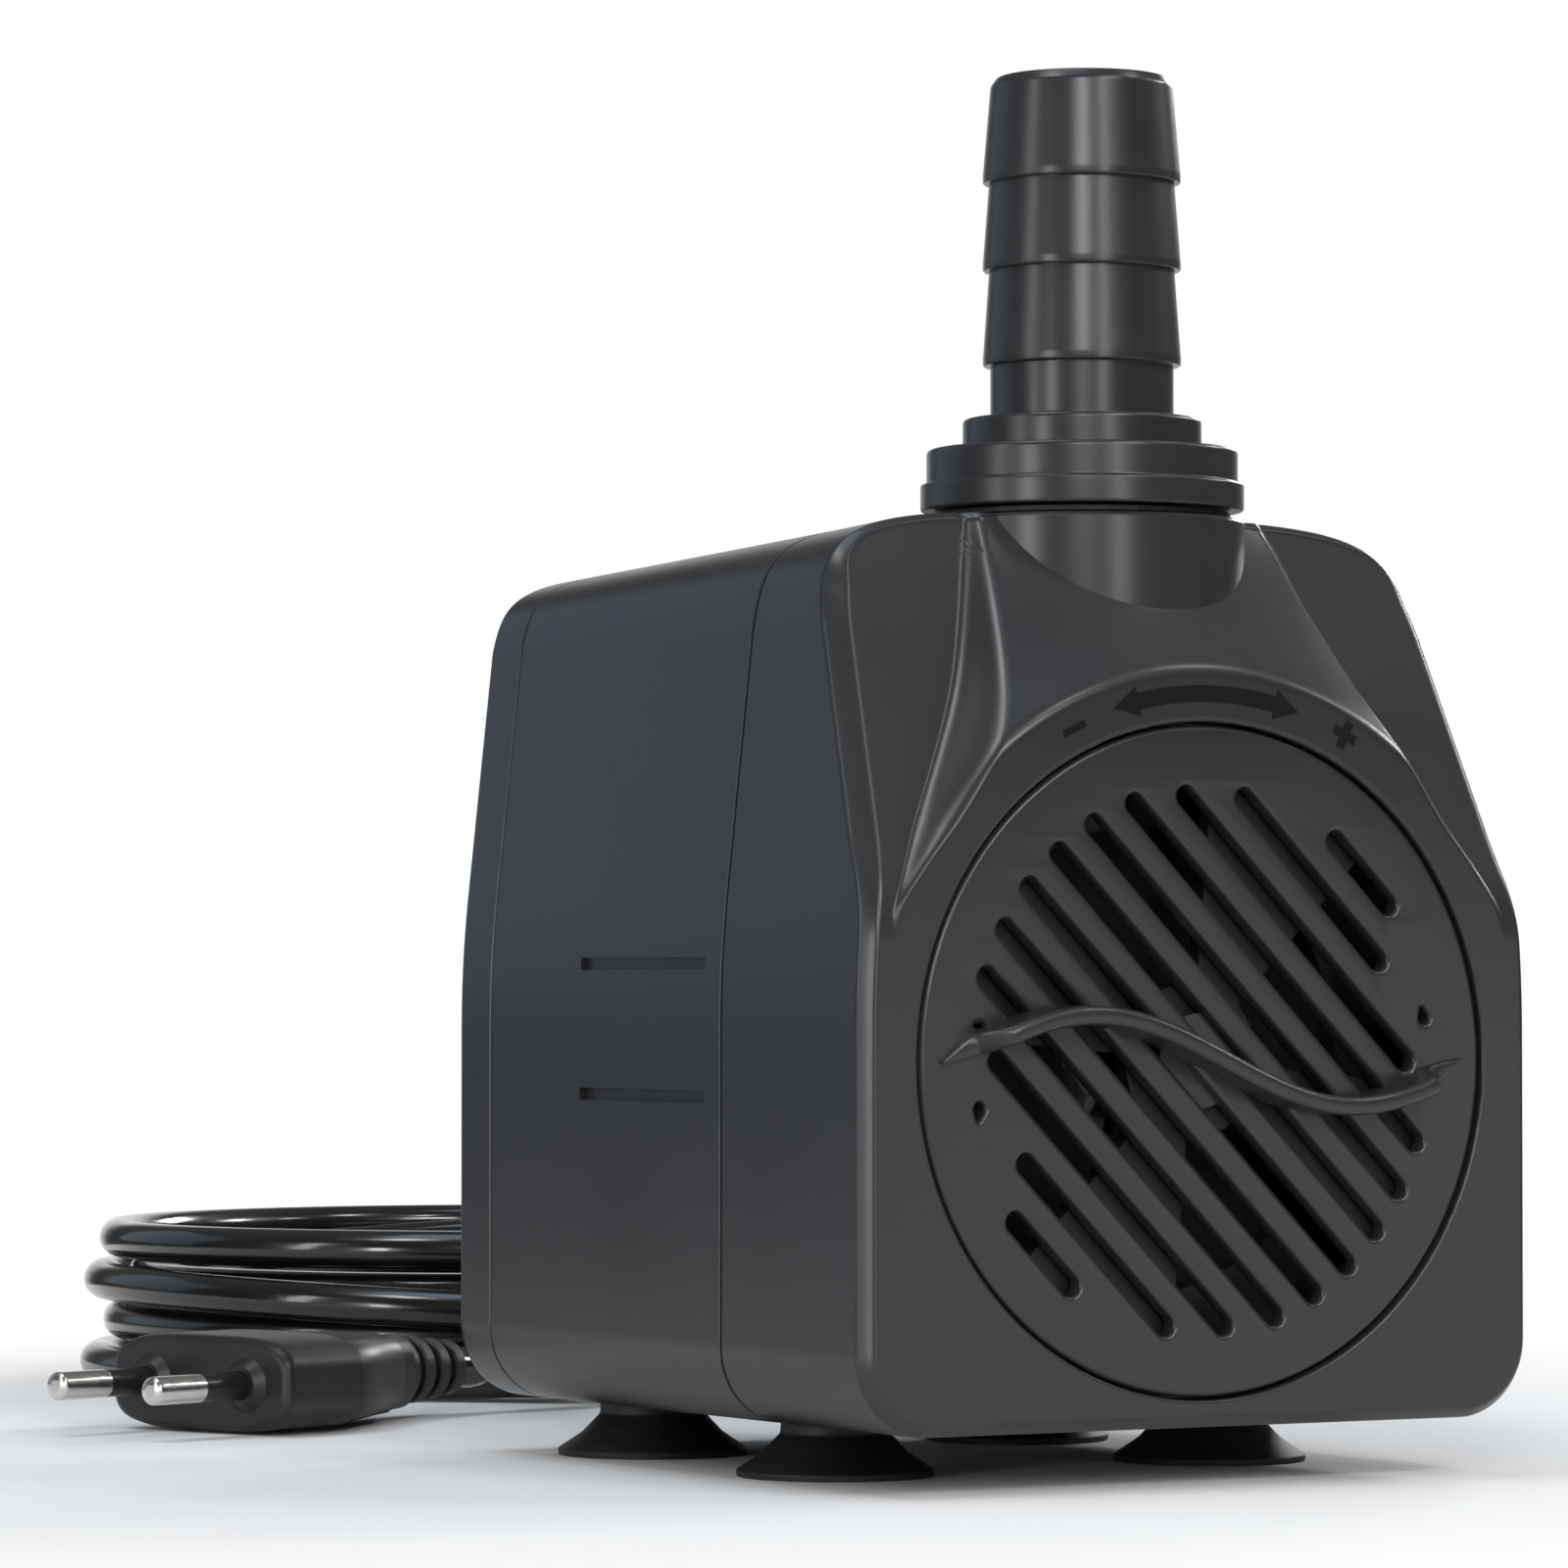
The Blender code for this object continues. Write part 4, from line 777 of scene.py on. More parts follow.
@dataclass
class BodyForm:
    """The outer form that the front housing, the motor casing and the rear cover share."""

    width: float = 100.8 * MM
    height: float = 116.2 * MM
    length: float = 108.0 * MM
    foot_height: float = 7.5 * MM
    front_y: float = -51.25 * MM
    lean_start: float = 50.0 * MM
    lean_soft: float = 0.35
    side_lean: float = 4.7 * MM
    corner_start: float = 101.0 * MM
    corner_pulls: tuple[Point2, ...] = ((1.6 * MM, 9.4 * MM), (3.0 * MM, 13.7 * MM))
    crown_half: float = 24.0 * MM
    crown_drop: float = 0.35 * MM
    low_corner: float = 10.0 * MM
    setback: float = 19.0 * MM
    top_drop: float = 4.0 * MM
    dial_height: float = 46.2 * MM
    neck_depth: float = 29.0 * MM
    cup_half: float = 29.0 * MM
    cup_depths: Point2 = (43.0 * MM, 91.2 * MM)
    gland_x: float = 28.0 * MM
    seam_gap: float = 0.3 * MM
    wall: float = 3.0 * MM

    def world(self, x: np.ndarray, depth: np.ndarray, rise: np.ndarray) -> np.ndarray:
        """Turn x, depth and height above the underside into world points."""
        x, depth, rise = np.broadcast_arrays(x, depth, rise)
        return np.stack([x, depth + self.front_y, rise + self.foot_height], axis=-1)

    def top(self, depth: float) -> float:
        """Height of the top at a depth; it falls towards the back."""
        behind = max(0.0, depth - self.setback)
        return self.height - self.top_drop * behind / (self.length - self.setback)

    def outline(self, inset: float, depth: float) -> np.ndarray:
        """The body's outline in x and height, with the same number of points for any inset.

        Args:
            inset: How far inside the outer skin the outline runs.
            depth: Where along the body it is taken.

        Returns:
            Points from the middle of the underside, round by +X.
        """
        half = self.width / 2 - inset
        low = inset
        fall = self.height - self.top(depth)
        top = self.height - fall - inset
        small = max(0.4 * MM, self.low_corner - inset)
        shoulder = half - self.side_lean
        begin = self.corner_start - inset * 0.4
        rise = np.linspace(low + small, begin, 170, endpoint=False)
        share = np.clip((rise - self.lean_start) / (begin - self.lean_start), 0.0, 1.0)
        soft = self.lean_soft
        lean = np.where(share < soft, share * share / (2 * soft), share - soft / 2) / (1 - soft / 2)
        side = half - self.side_lean * lean
        (in1, up1), (in2, up2) = self.corner_pulls
        crown = (self.crown_half, top - self.crown_drop)
        pulls = [
            (shoulder, begin), (shoulder - in1, begin + up1 - 0.7 * fall),
            (shoulder - in2, begin + up2 - fall - inset * 0.6), crown,
        ]
        knots = [
            self._straight((0.0, low), (half - small, low), 36),
            np.array(Sculptor.arc((half - small, low + small), small, -90, 0, 17)[:-1]),
            np.stack([side, rise], axis=1),
            self._bend(pulls, 84),
            self._straight(crown, (0.0, top), 80),
        ]
        right = np.concatenate(knots + [np.array([(0.0, top)])])
        left = right[1:-1][::-1] * np.array([-1.0, 1.0])
        return np.concatenate([right, left])

    @staticmethod
    def _straight(start: Point2, end: Point2, count: int) -> np.ndarray:
        """Points of a straight line without its end."""
        share = np.linspace(0, 1, count, endpoint=False)[:, None]
        return np.array(start) * (1 - share) + np.array(end) * share

    @staticmethod
    def _bend(pulls: Sequence[Point2], count: int) -> np.ndarray:
        """Points of a cubic bend without its end.

        Args:
            pulls: The start, the two pulls and the end.
            count: How many points to give.

        Returns:
            One row for each point.
        """
        share = np.linspace(0, 1, count, endpoint=False)[:, None]
        rest = 1 - share
        first, second, third, fourth = (np.array(pull) for pull in pulls)
        near = rest**3 * first + 3 * rest**2 * share * second
        return near + 3 * rest * share**2 * third + share**3 * fourth

    def ring(self, inset: float, depth: float) -> np.ndarray:
        """The outline at a depth as world points."""
        flat = self.outline(inset, depth)
        return self.world(flat[:, 0], np.array(depth), flat[:, 1])

    def at(self, x: float, depth: float, rise: float) -> Point3:
        """One world point from x, depth and height above the underside."""
        return (x, depth + self.front_y, rise + self.foot_height)


@dataclass
class FrontHousing:
    """Intake housing with the flat face, the saddle under the neck and the shoulders."""

    form: BodyForm
    seam_depth: float = 35.4 * MM
    recess_radius: float = 42.7 * MM
    recess_depth: float = 6.3 * MM
    recess_edge: float = 0.45 * MM
    lip: float = 0.35 * MM
    arch_radius: float = 49.4 * MM
    ridge: tuple[Point2, ...] = (
        (48.5 * MM, 62.0 * MM), (30.0 * MM, 85.8 * MM), (24.2 * MM, 100.6 * MM), (21.8 * MM, 114.0 * MM),
    )
    wall_slope: float = 2.5
    wall_round: Point2 = (0.6 * MM, 0.95 * MM)
    arch_round: float = 0.9 * MM
    ridge_round: float = 3.5 * MM
    shoulder_round: float = 2.0 * MM
    fillet_most: float = 2.4 * MM
    edge_lift: float = 3.0 * MM
    lift_start: float = 92.0 * MM
    lift_run: float = 22.0 * MM
    shoulder_slope: float = 0.43
    shoulder_start: float = 65.5 * MM
    neck_radius: float = 21.1 * MM
    neck_top: float = 115.9 * MM
    neck_low: float = 90.0 * MM
    socket_radius: float = 12.2 * MM
    socket_depth: float = 14.0 * MM
    duct_half: float = 9.0 * MM
    chamber_radius: float = 34.3 * MM
    chamber_shell: float = 42.3 * MM
    chamber_depth: float = 18.0 * MM
    intake_ledge: float = 3.5 * MM
    chamber_ledge: float = 4.3 * MM
    pocket_wall: float = 7.0 * MM
    duct_length: float = 12.0 * MM
    neck_chamfer: float = 0.5 * MM
    rows: int = 92
    roll_low: float = 1.9 * MM
    roll_high: float = 2.8 * MM
    roll_lead: float = 4.0 * MM
    roll_run: float = 14.0 * MM
    roll_loss: float = 0.65
    chamfer_depth: float = 1.25
    chamfer: tuple[Point2, ...] = (
        (0.12, 0.01), (0.23, 0.045), (0.33, 0.11), (0.60, 0.38),
        (0.87, 0.71), (0.95, 0.82), (0.99, 0.91), (1, 1),
    )
    mark_ring: float = 3.6 * MM
    arrow_half: float = 1.05 * MM
    arrow_tip: float = 1.9 * MM
    arrow_head: float = 4.6
    arrow_reach: float = 17.5
    sign_half: float = 1.75 * MM
    minus_half: float = 0.45 * MM
    minus_rise: float = -0.3 * MM
    minus_turn: float = 25.5
    plus_half: float = 0.62 * MM
    plus_rise: float = 0.2 * MM
    plus_turn: float = -27.0
    ink: float = 0.2 * MM
    ink_edge: float = 0.04 * MM

    @staticmethod
    def _soft(value: np.ndarray, radius: np.ndarray | float) -> np.ndarray:
        """The larger of a value and zero, rounded off within a radius.

        Args:
            value: The values to limit.
            radius: How far from zero the rounding reaches.

        Returns:
            The limited values.
        """
        radius = np.maximum(radius, 1e-7)
        bend = (value + radius) ** 2 / (4 * radius)
        return np.where(value <= -radius, 0.0, np.where(value >= radius, value, bend))

    def face_depth(self, x: np.ndarray, rise: np.ndarray) -> np.ndarray:
        """How far behind the flat face the front surface lies.

        Args:
            x: Places across.
            rise: Heights above the underside.

        Returns:
            Depth of the surface at each place.
        """
        across = np.abs(x)
        beyond = np.hypot(across, rise - self.form.dial_height) - self.arch_radius
        saddle = self._soft(beyond, self.arch_round)
        outside = None
        for (x0, z0), (x1, z1) in zip(self.ridge, self.ridge[1:]):
            length = math.hypot(x1 - x0, z1 - z0)
            distance = ((across - x0) * (z1 - z0) - (rise - z0) * (x1 - x0)) / length
            if outside is None:
                outside = distance
            else:
                outside = distance - self._soft(distance - outside, self.ridge_round)
        outside = np.maximum(across - self.ridge[0][0], outside)
        shoulder = self._soft(self.shoulder_slope * (rise - self.shoulder_start), self.shoulder_round)
        high = np.clip((rise - self.lift_start) / self.lift_run, 0.0, 1.2) ** 2
        wide = np.clip(across / self.ridge[-1][0], 0.0, 1.15) ** 2
        saddle = saddle - self.edge_lift * high * wide
        wall = np.maximum(shoulder - saddle, 0.0)
        tongue = saddle + self.wall_slope * self._soft(outside, np.clip(0.22 * wall, *self.wall_round))
        fillet = np.clip(np.minimum(0.8 * shoulder, 0.4 * MM + 0.5 * wall), 0.0, self.fillet_most)
        return tongue - self._soft(tongue - shoulder, fillet)

    def _round(self, angles: np.ndarray, radius: float, depth: float) -> np.ndarray:
        """A circle round the dial's axis with one point for each column.

        Args:
            angles: The columns' angles in radians.
            radius: The circle's radius.
            depth: Its distance from the face.

        Returns:
            World points, one row for each column.
        """
        form = self.form
        x = radius * np.cos(angles)
        return form.world(x, np.array(depth), form.dial_height + radius * np.sin(angles))

    def _shell(self) -> bpy.types.Object:
        """The housing without its neck, as one closed skin of rings.

        Returns:
            The housing's shell.
        """
        form = self.form
        outer = form.outline(0.0, 0.0)
        angles = np.arctan2(outer[:, 1] - form.dial_height, outer[:, 0])
        blend = np.clip((outer[:, 1] - self.shoulder_start + self.roll_lead) / self.roll_run, 0.0, 1.0)
        roll = self.roll_low + (self.roll_high - self.roll_low) * Sculptor.ease(blend)
        ahead = np.roll(outer, -1, axis=0) - np.roll(outer, 1, axis=0)
        outward = np.stack([ahead[:, 1], -ahead[:, 0]], axis=1)
        outward /= np.linalg.norm(outward, axis=1)[:, None]
        roll *= 1 - self.roll_loss * np.clip((outward[:, 1] - 0.3) / 0.6, 0.0, 1.0)
        inner_edge = outer - outward * roll[:, None]
        edge, lip = self.recess_edge, self.lip
        hub = np.stack([np.cos(angles), np.sin(angles)], axis=1)
        hub_line = hub * (self.recess_radius + edge) + np.array([0.0, form.dial_height])
        rings = [self._round(angles, self.recess_radius, edge)]
        for turn in (30.0, 60.0):
            bend = math.radians(turn)
            reach = self.recess_radius + edge * (1 - math.cos(bend))
            rings.append(self._round(angles, reach, edge * (1 - math.sin(bend))))
        for share in np.linspace(0, 1, self.rows):
            line = hub_line * (1 - share) + inner_edge * share
            rings.append(form.world(line[:, 0], self.face_depth(line[:, 0], line[:, 1]), line[:, 1]))
        start = self.face_depth(inner_edge[:, 0], inner_edge[:, 1])
        for out, back in self.chamfer:
            line = inner_edge + outward * (roll * out)[:, None]
            rings.append(form.world(line[:, 0], start + self.chamfer_depth * roll * back, line[:, 1]))
        begin = start + self.chamfer_depth * roll
        far = form.outline(0.0, self.seam_depth)
        for share in np.linspace(0, 1, 7)[1:]:
            line = outer * (1 - share) + far * share
            depth = begin * (1 - share) + (self.seam_depth - lip) * share
            rings.append(form.world(line[:, 0], depth, line[:, 1]))
        rim = form.outline(lip, self.seam_depth)
        rings.append(form.world(rim[:, 0], np.array(self.seam_depth), rim[:, 1]))
        inside = form.outline(form.wall, self.seam_depth)
        rings.append(form.world(inside[:, 0], np.array(self.seam_depth), inside[:, 1]))
        pocket = np.minimum(begin + self.pocket_wall, self.seam_depth - 2.0 * MM)
        rings.append(form.world(inside[:, 0], pocket, inside[:, 1]))
        shell = hub * self.chamber_shell + np.array([0.0, form.dial_height])
        rings.append(form.world(shell[:, 0], pocket, shell[:, 1]))
        hole = self.chamber_radius - self.chamber_ledge
        intake = self.recess_radius - self.intake_ledge
        intake_end = self.chamber_depth - form.wall
        for radius, depth in (
            (self.chamber_shell, self.seam_depth), (self.chamber_radius, self.seam_depth),
            (self.chamber_radius, self.chamber_depth), (hole, self.chamber_depth), (hole, intake_end),
            (intake, intake_end), (intake, self.recess_depth), (self.recess_radius, self.recess_depth),
        ):
            rings.append(self._round(angles, radius, depth))
        return Sculptor.skin("front_shell", rings, cap=False, loop=True)

    def build(self) -> bpy.types.Object:
        """Make the housing with its neck, outlet duct and nozzle socket.

        Returns:
            The finished piece.
        """
        form = self.form
        body = self._shell()
        half = self.duct_half + form.wall
        duct_far = self.seam_depth - form.wall
        duct_near = duct_far - self.duct_length
        low = form.at(-half, duct_near - form.wall, form.dial_height + self.chamber_radius + 1.0 * MM)
        high = form.at(half, self.seam_depth - 0.1 * MM, self.neck_low + 8.0 * MM)
        Sculptor.join(body, Sculptor.block("duct_shell", low, high))
        neck_height = self.neck_top - self.neck_low
        chamfer = self.neck_chamfer
        profile = [
            (0.0, 0.0), (self.neck_radius, 0.0), (self.neck_radius, neck_height - chamfer),
            (self.neck_radius - chamfer, neck_height), (0.0, neck_height),
        ]
        foot = form.at(0.0, form.neck_depth, self.neck_low)
        Sculptor.join(body, Sculptor.turned("neck", profile, foot, 160))
        low = form.at(-self.duct_half, duct_near, form.dial_height)
        high = form.at(self.duct_half, duct_far, self.neck_top - self.socket_depth + 1.0 * MM)
        Sculptor.cut(body, Sculptor.block("duct", low, high))
        floor = form.at(0.0, form.neck_depth, self.neck_top - self.socket_depth)
        socket = Sculptor.rod("socket", self.socket_radius, floor, self.socket_depth + 5 * MM, False, 128)
        Sculptor.cut(body, socket)
        return Sculptor.smooth(body, 30.0)

    def marks(self) -> list[bpy.types.Object]:
        """Make the flow marks over the dial: a two-ended arrow, a minus and a plus.

        Returns:
            The three marks, each a thin raised print.
        """
        middle = self.recess_radius + self.mark_ring
        half, tip = self.arrow_half, self.arrow_tip
        head, reach = self.arrow_head, self.arrow_reach
        arrow = Sculptor.arc((0, 0), middle + half, 90 - reach + head, 90 + reach - head, 40)
        arrow += [self._polar(middle + tip, 90 + reach - head), self._polar(middle, 90 + reach)]
        arrow += [self._polar(middle - tip, 90 + reach - head)]
        arrow += Sculptor.arc((0, 0), middle - half, 90 + reach - head, 90 - reach + head, 40)
        arrow += [self._polar(middle - tip, 90 - reach + head), self._polar(middle, 90 - reach)]
        arrow += [self._polar(middle + tip, 90 - reach + head)]
        bar = self._cross(self.sign_half, self.minus_half, False)
        minus = self._beside(bar, middle + self.minus_rise, self.minus_turn)
        cross = self._cross(self.sign_half, self.plus_half, True)
        plus = self._beside(cross, middle + self.plus_rise, self.plus_turn)
        place = self.form.at(0.0, -0.02 * MM, self.form.dial_height)
        made = []
        for name, loop in (("flow_arrow", arrow), ("less_mark", minus), ("more_mark", plus)):
            made.append(Sculptor.flat(name, [loop], self.ink, self.ink_edge, place))
        return made

    @staticmethod
    def _cross(long: float, thin: float, upright: bool) -> list[Point2]:
        """Outline of a bar, or of a cross where there is an upright.

        Args:
            long: Half of a bar's length.
            thin: Half of a bar's width.
            upright: Whether to add the upright.

        Returns:
            The outline's corners in order.
        """
        if not upright:
            return [(-long, -thin), (long, -thin), (long, thin), (-long, thin)]
        quarter = [(long, -thin), (long, thin), (thin, thin)]
        turns = ((1, 0), (0, 1), (-1, 0), (0, -1))
        return [(x * c - z * s, x * s + z * c) for c, s in turns for x, z in quarter]

    @staticmethod
    def _beside(loop: Sequence[Point2], radius: float, turn: float) -> list[Point2]:
        """An outline moved up by a radius and then turned about the dial's centre, in degrees."""
        c, s = math.cos(math.radians(turn)), math.sin(math.radians(turn))
        return [(x * c - (z + radius) * s, x * s + (z + radius) * c) for x, z in loop]

    @staticmethod
    def _polar(radius: float, angle: float) -> Point2:
        """A point from its distance and its angle in degrees."""
        return (radius * math.cos(math.radians(angle)), radius * math.sin(math.radians(angle)))


@dataclass
class MotorCasing:
    """Motor casing with the rotor's well and flange, and the rear cover behind it."""

    form: BodyForm
    start: float = 35.7 * MM
    end: float = 97.5 * MM
    well_radius: float = 11.4 * MM
    well_wall: float = 1.8 * MM
    well_end: float = 86.7 * MM
    flange_radius: float = 33.9 * MM
    flange_depth: float = 4.0 * MM
    seal_section: float = 2.1 * MM
    seat_radius: float = 21.4 * MM
    seat_low: float = 89.7 * MM
    groove_length: float = 33.0 * MM
    groove_width: float = 1.6 * MM
    groove_depth: float = 1.0 * MM
    groove_start: float = 4.0 * MM
    groove_levels: Point2 = (41.5 * MM, 58.5 * MM)
    cup_hole: float = 3.0 * MM
    rear_round: float = 2.6 * MM
    lip: float = 0.14 * MM
    clear_height: float = 50 * MM
    gland_height: float = 12.1 * MM
    gland_hole: float = 4.9 * MM

    def build_casing(self) -> bpy.types.Object:
        """Make the motor casing.

        Returns:
            The finished piece.
        """
        form = self.form
        lip = self.lip
        rings = [form.ring(lip, self.start), form.ring(0.0, self.start + lip)]
        for share in np.linspace(0, 1, 9)[1:-1]:
            rings.append(form.ring(0.0, self.start + share * (self.end - self.start)))
        rings += [form.ring(0.0, self.end - lip), form.ring(lip, self.end)]
        casing = Sculptor.skin("motor_casing", rings)
        ends = (self.start + form.wall, self.end + form.wall)
        room = Sculptor.skin("motor_room", [form.ring(form.wall, depth) for depth in ends])
        axis = form.at(0.0, self.start, form.dial_height)
        outer = self.well_radius + self.well_wall
        well = Sculptor.rod("well_wall", outer, axis, self.well_end + self.well_wall - self.start, True)
        Sculptor.cut(room, well)
        seat_foot = form.at(0.0, form.neck_depth, self.seat_low - form.wall)
        around = self.seat_radius + form.wall
        seat_wall = Sculptor.rod("seat_wall", around, seat_foot, self.clear_height, False)
        Sculptor.cut(room, seat_wall)
        Sculptor.cut(casing, room)
        begin = self.start - self.flange_depth
        neck = self.flange_radius - self.seal_section
        step = self.seal_section + form.seam_gap
        inset = self.flange_depth + form.wall / 2
        profile = [(0.0, 0.0), (neck, 0.0), (neck, step), (self.flange_radius, step)]
        profile += [(self.flange_radius, inset), (0.0, inset)]
        flange = Sculptor.turned("flange", profile, form.at(0.0, begin, form.dial_height), 128, True)
        Sculptor.join(casing, flange)
        front = form.at(0.0, begin - 1.0 * MM, form.dial_height)
        bore = Sculptor.rod("well_bore", self.well_radius, front, self.well_end - begin + 1.0 * MM, True)
        Sculptor.cut(casing, bore)
        seat = form.at(0.0, form.neck_depth, self.seat_low)
        Sculptor.cut(casing, Sculptor.rod("seat", self.seat_radius, seat, self.clear_height, False, 160))
        self._cut_grooves(casing)
        for side in (-1, 1):
            for depth in form.cup_depths:
                below = form.at(side * form.cup_half, depth, -2 * MM)
                hole = Sculptor.rod("cup_hole", self.cup_hole, below, 2 * MM + 1.5 * form.wall, False, 32)
                Sculptor.cut(casing, hole)
        return Sculptor.smooth(casing, 30.0)

    def _cut_grooves(self, casing: bpy.types.Object) -> None:
        """Cut the two shallow grooves in each side.

        Args:
            casing: The casing to cut.
        """
        form = self.form
        half = form.width / 2
        for side in (-1, 1):
            for level in self.groove_levels:
                inner = side * (half - self.groove_depth)
                outer = side * (half + 1.0 * MM)
                begin = self.start + self.groove_start
                low = form.at(min(inner, outer), begin, level - self.groove_width / 2)
                high = form.at(max(inner, outer), begin + self.groove_length, level + self.groove_width / 2)
                Sculptor.cut(casing, Sculptor.block("groove", low, high))

    def build_cover(self) -> bpy.types.Object:
        """Make the rear cover with its rounded edge and the gland's hole.

        Returns:
            The finished piece.
        """
        form = self.form
        lip = self.lip
        begin = self.end + form.seam_gap
        rings = [form.ring(lip, begin), form.ring(0.0, begin + lip)]
        for share in (0.33, 0.66):
            rings.append(form.ring(0.0, begin + share * (form.length - self.rear_round - begin)))
        for turn in (0, 15, 30, 45, 60, 75, 90):
            bend = math.radians(turn)
            inset = self.rear_round * (1 - math.cos(bend))
            rings.append(form.ring(inset, form.length - self.rear_round * (1 - math.sin(bend))))
        cover = Sculptor.skin("rear_shell", rings)
        inner = form.wall + form.seam_gap
        tongue = [form.ring(inner, self.end - 2.0 * MM), form.ring(inner, begin + 1.0 * MM)]
        Sculptor.join(cover, Sculptor.skin("cover_tongue", tongue))
        deep = inner + 2.1 * MM
        space = [form.ring(deep, self.end - 3.0 * MM), form.ring(deep, form.length - form.wall)]
        Sculptor.cut(cover, Sculptor.skin("cover_space", space))
        place = form.at(form.gland_x, form.length - 2 * form.wall, self.gland_height)
        hole = Sculptor.rod("gland_hole", self.gland_hole, place, 3 * form.wall, True, 64)
        Sculptor.cut(cover, hole)
        return Sculptor.smooth(cover, 30.0)


@dataclass
class FlowDial:
    """Slotted dial with its S-shaped grip and small drain holes."""

    form: BodyForm
    radius: float = 42.3 * MM
    start: float = 0.3 * MM
    thickness: float = 3.0 * MM
    edge: float = 0.75 * MM
    pitch: float = 0.146
    slot: float = 0.062
    tip_circle: float = 0.83
    tilt: float = -45.0
    short_slots: tuple[Point3, ...] = (
        (3.5, -0.634, 0.547), (4.5, -0.483, 0.264), (5.5, -0.16, 0.17),
    )
    drains: tuple[tuple[float, float, float, float], ...] = (
        (-0.79, -0.135, -100.0, 1.0), (0.80, 0.125, 105.0, 1.0), (-0.785, 0.10, 160.0, 0.7),
    )
    fin_reach: float = 0.93
    fin_wave: float = 0.137
    fin_proud: float = 5.4 * MM
    fin_half: float = 1.2 * MM
    fin_rows: int = 97
    fin_end: float = 0.13
    fin_swell: float = 0.8
    fin_crest: float = 0.9
    leaf_proud: float = 0.55 * MM
    leaf_end: float = 0.75
    pivot_radius: float = 3.0 * MM
    pivot_end: float = 7.5 * MM

    def _slots(self) -> list[list[Point2]]:
        """Outlines of the slots, turned to their slant.

        Returns:
            One outline for each slot.
        """
        tip = self.tip_circle
        spans: list[Point3] = []
        for row in (0.5, 1.5, 2.5):
            offset = row * self.pitch
            reach = math.sqrt(tip * tip - offset * offset)
            spans.append((offset, -reach, reach))
        spans += [(row * self.pitch, begin, end) for row, begin, end in self.short_slots]
        spans += [(-offset, -end, -begin) for offset, begin, end in spans]
        turn = Matrix.Rotation(math.radians(self.tilt), 2)
        half = self.slot / 2
        loops = []
        for offset, begin, end in spans:
            line = Sculptor.arc((end - half, offset), half, -90, 90, 13)
            line += Sculptor.arc((begin + half, offset), half, 90, 270, 13)
            loops.append([tuple(turn @ Vector(point) * self.radius) for point in reversed(line)])
        return loops

    def _drain(self, x: float, z: float, aim: float, size: float) -> list[Point2]:
        """Outline of a drop-shaped drain hole.

        Args:
            x: Place across the dial, as a share of its radius.
            z: Place up the dial, as a share of its radius.
            aim: Where the drop's tip points, in degrees.
            size: Scale of the drop.

        Returns:
            The outline's points.
        """
        turn = Matrix.Rotation(math.radians(aim), 2)
        line = Sculptor.arc((0.0, 0.0), 0.75 * MM, 65, 295, 17)
        line += Sculptor.arc((1.3 * MM, 0.0), 0.2 * MM, -65, 65, 7)
        centre = Vector((x, z)) * self.radius
        return [tuple(turn @ Vector(point) * size + centre) for point in reversed(line)]

    def _fin_line(self, share: float) -> Point2:
        """Place of the grip's middle line across the dial.

        Args:
            share: How far along the grip, from 0 to 1.

        Returns:
            The place across and up from the dial's axis.
        """
        reach = self.fin_reach * self.radius
        x = -reach + 2 * reach * share
        return x, -self.fin_wave * self.radius * math.sin(math.pi * x / reach)

    def _fin(self) -> bpy.types.Object:
        """The S-shaped grip, tall in the middle, with leaf-shaped ends that lie on the dial.

        Returns:
            The grip.
        """
        rings = []
        root = self.start + self.thickness * 0.5
        for share in np.linspace(0, 1, self.fin_rows):
            end = min(share, 1 - share) / self.fin_end
            ramp = min(1.0, max(0.0, (end - 0.45) / 0.3))
            swell = Sculptor.ease(ramp) ** self.fin_swell
            proud = self.leaf_proud + (self.fin_proud - self.leaf_proud) * swell
            leaf = math.sin(end / self.leaf_end * math.pi) if end < self.leaf_end else 0.0
            half = self.fin_half * (min(1.0, 0.12 + end * 1.6) + 0.3 * leaf)
            x, z = self._fin_line(share)
            before = Vector(self._fin_line(max(0.0, share - 0.005)))
            after = Vector(self._fin_line(min(1.0, share + 0.005)))
            along = (after - before).normalized()
            side = Vector((-along.y, along.x))
            crest = min(self.fin_crest * half, self.fin_crest * proud)
            turns = np.radians(np.linspace(0, 180, 13))
            round_top = [(half * math.cos(turn), proud - crest * (1 - math.sin(turn))) for turn in turns]
            section = [(half, -root), *round_top, (-half, -root)]
            ring = []
            for across, rise in section:
                spot = Vector((x, z)) + side * across
                ring.append(self.form.at(spot.x, -rise, self.form.dial_height + spot.y))
            rings.append(np.array(ring))
        return Sculptor.skin("fin", rings)

    def build(self) -> bpy.types.Object:
        """Make the dial.

        Returns:
            The finished piece.
        """
        form = self.form
        loops = [Sculptor.arc((0, 0), self.radius, 0, 360 * 199 / 200, 200)]
        loops += self._slots()
        loops += [self._drain(*drain) for drain in self.drains]
        place = form.at(0.0, self.start + self.thickness / 2, form.dial_height)
        dial = Sculptor.flat("dial_plate", loops, self.thickness, self.edge, place)
        Sculptor.join(dial, self._fin())
        root = form.at(0.0, self.start + self.thickness / 2, form.dial_height)
        boss = Sculptor.rod("boss", 2 * self.pivot_radius, root, self.thickness / 2, True, 48)
        Sculptor.join(dial, boss)
        pivot = Sculptor.rod("pivot", self.pivot_radius, root, self.pivot_end - self.thickness / 2, True, 48)
        Sculptor.join(dial, pivot)
        return Sculptor.smooth(dial, 34.0)


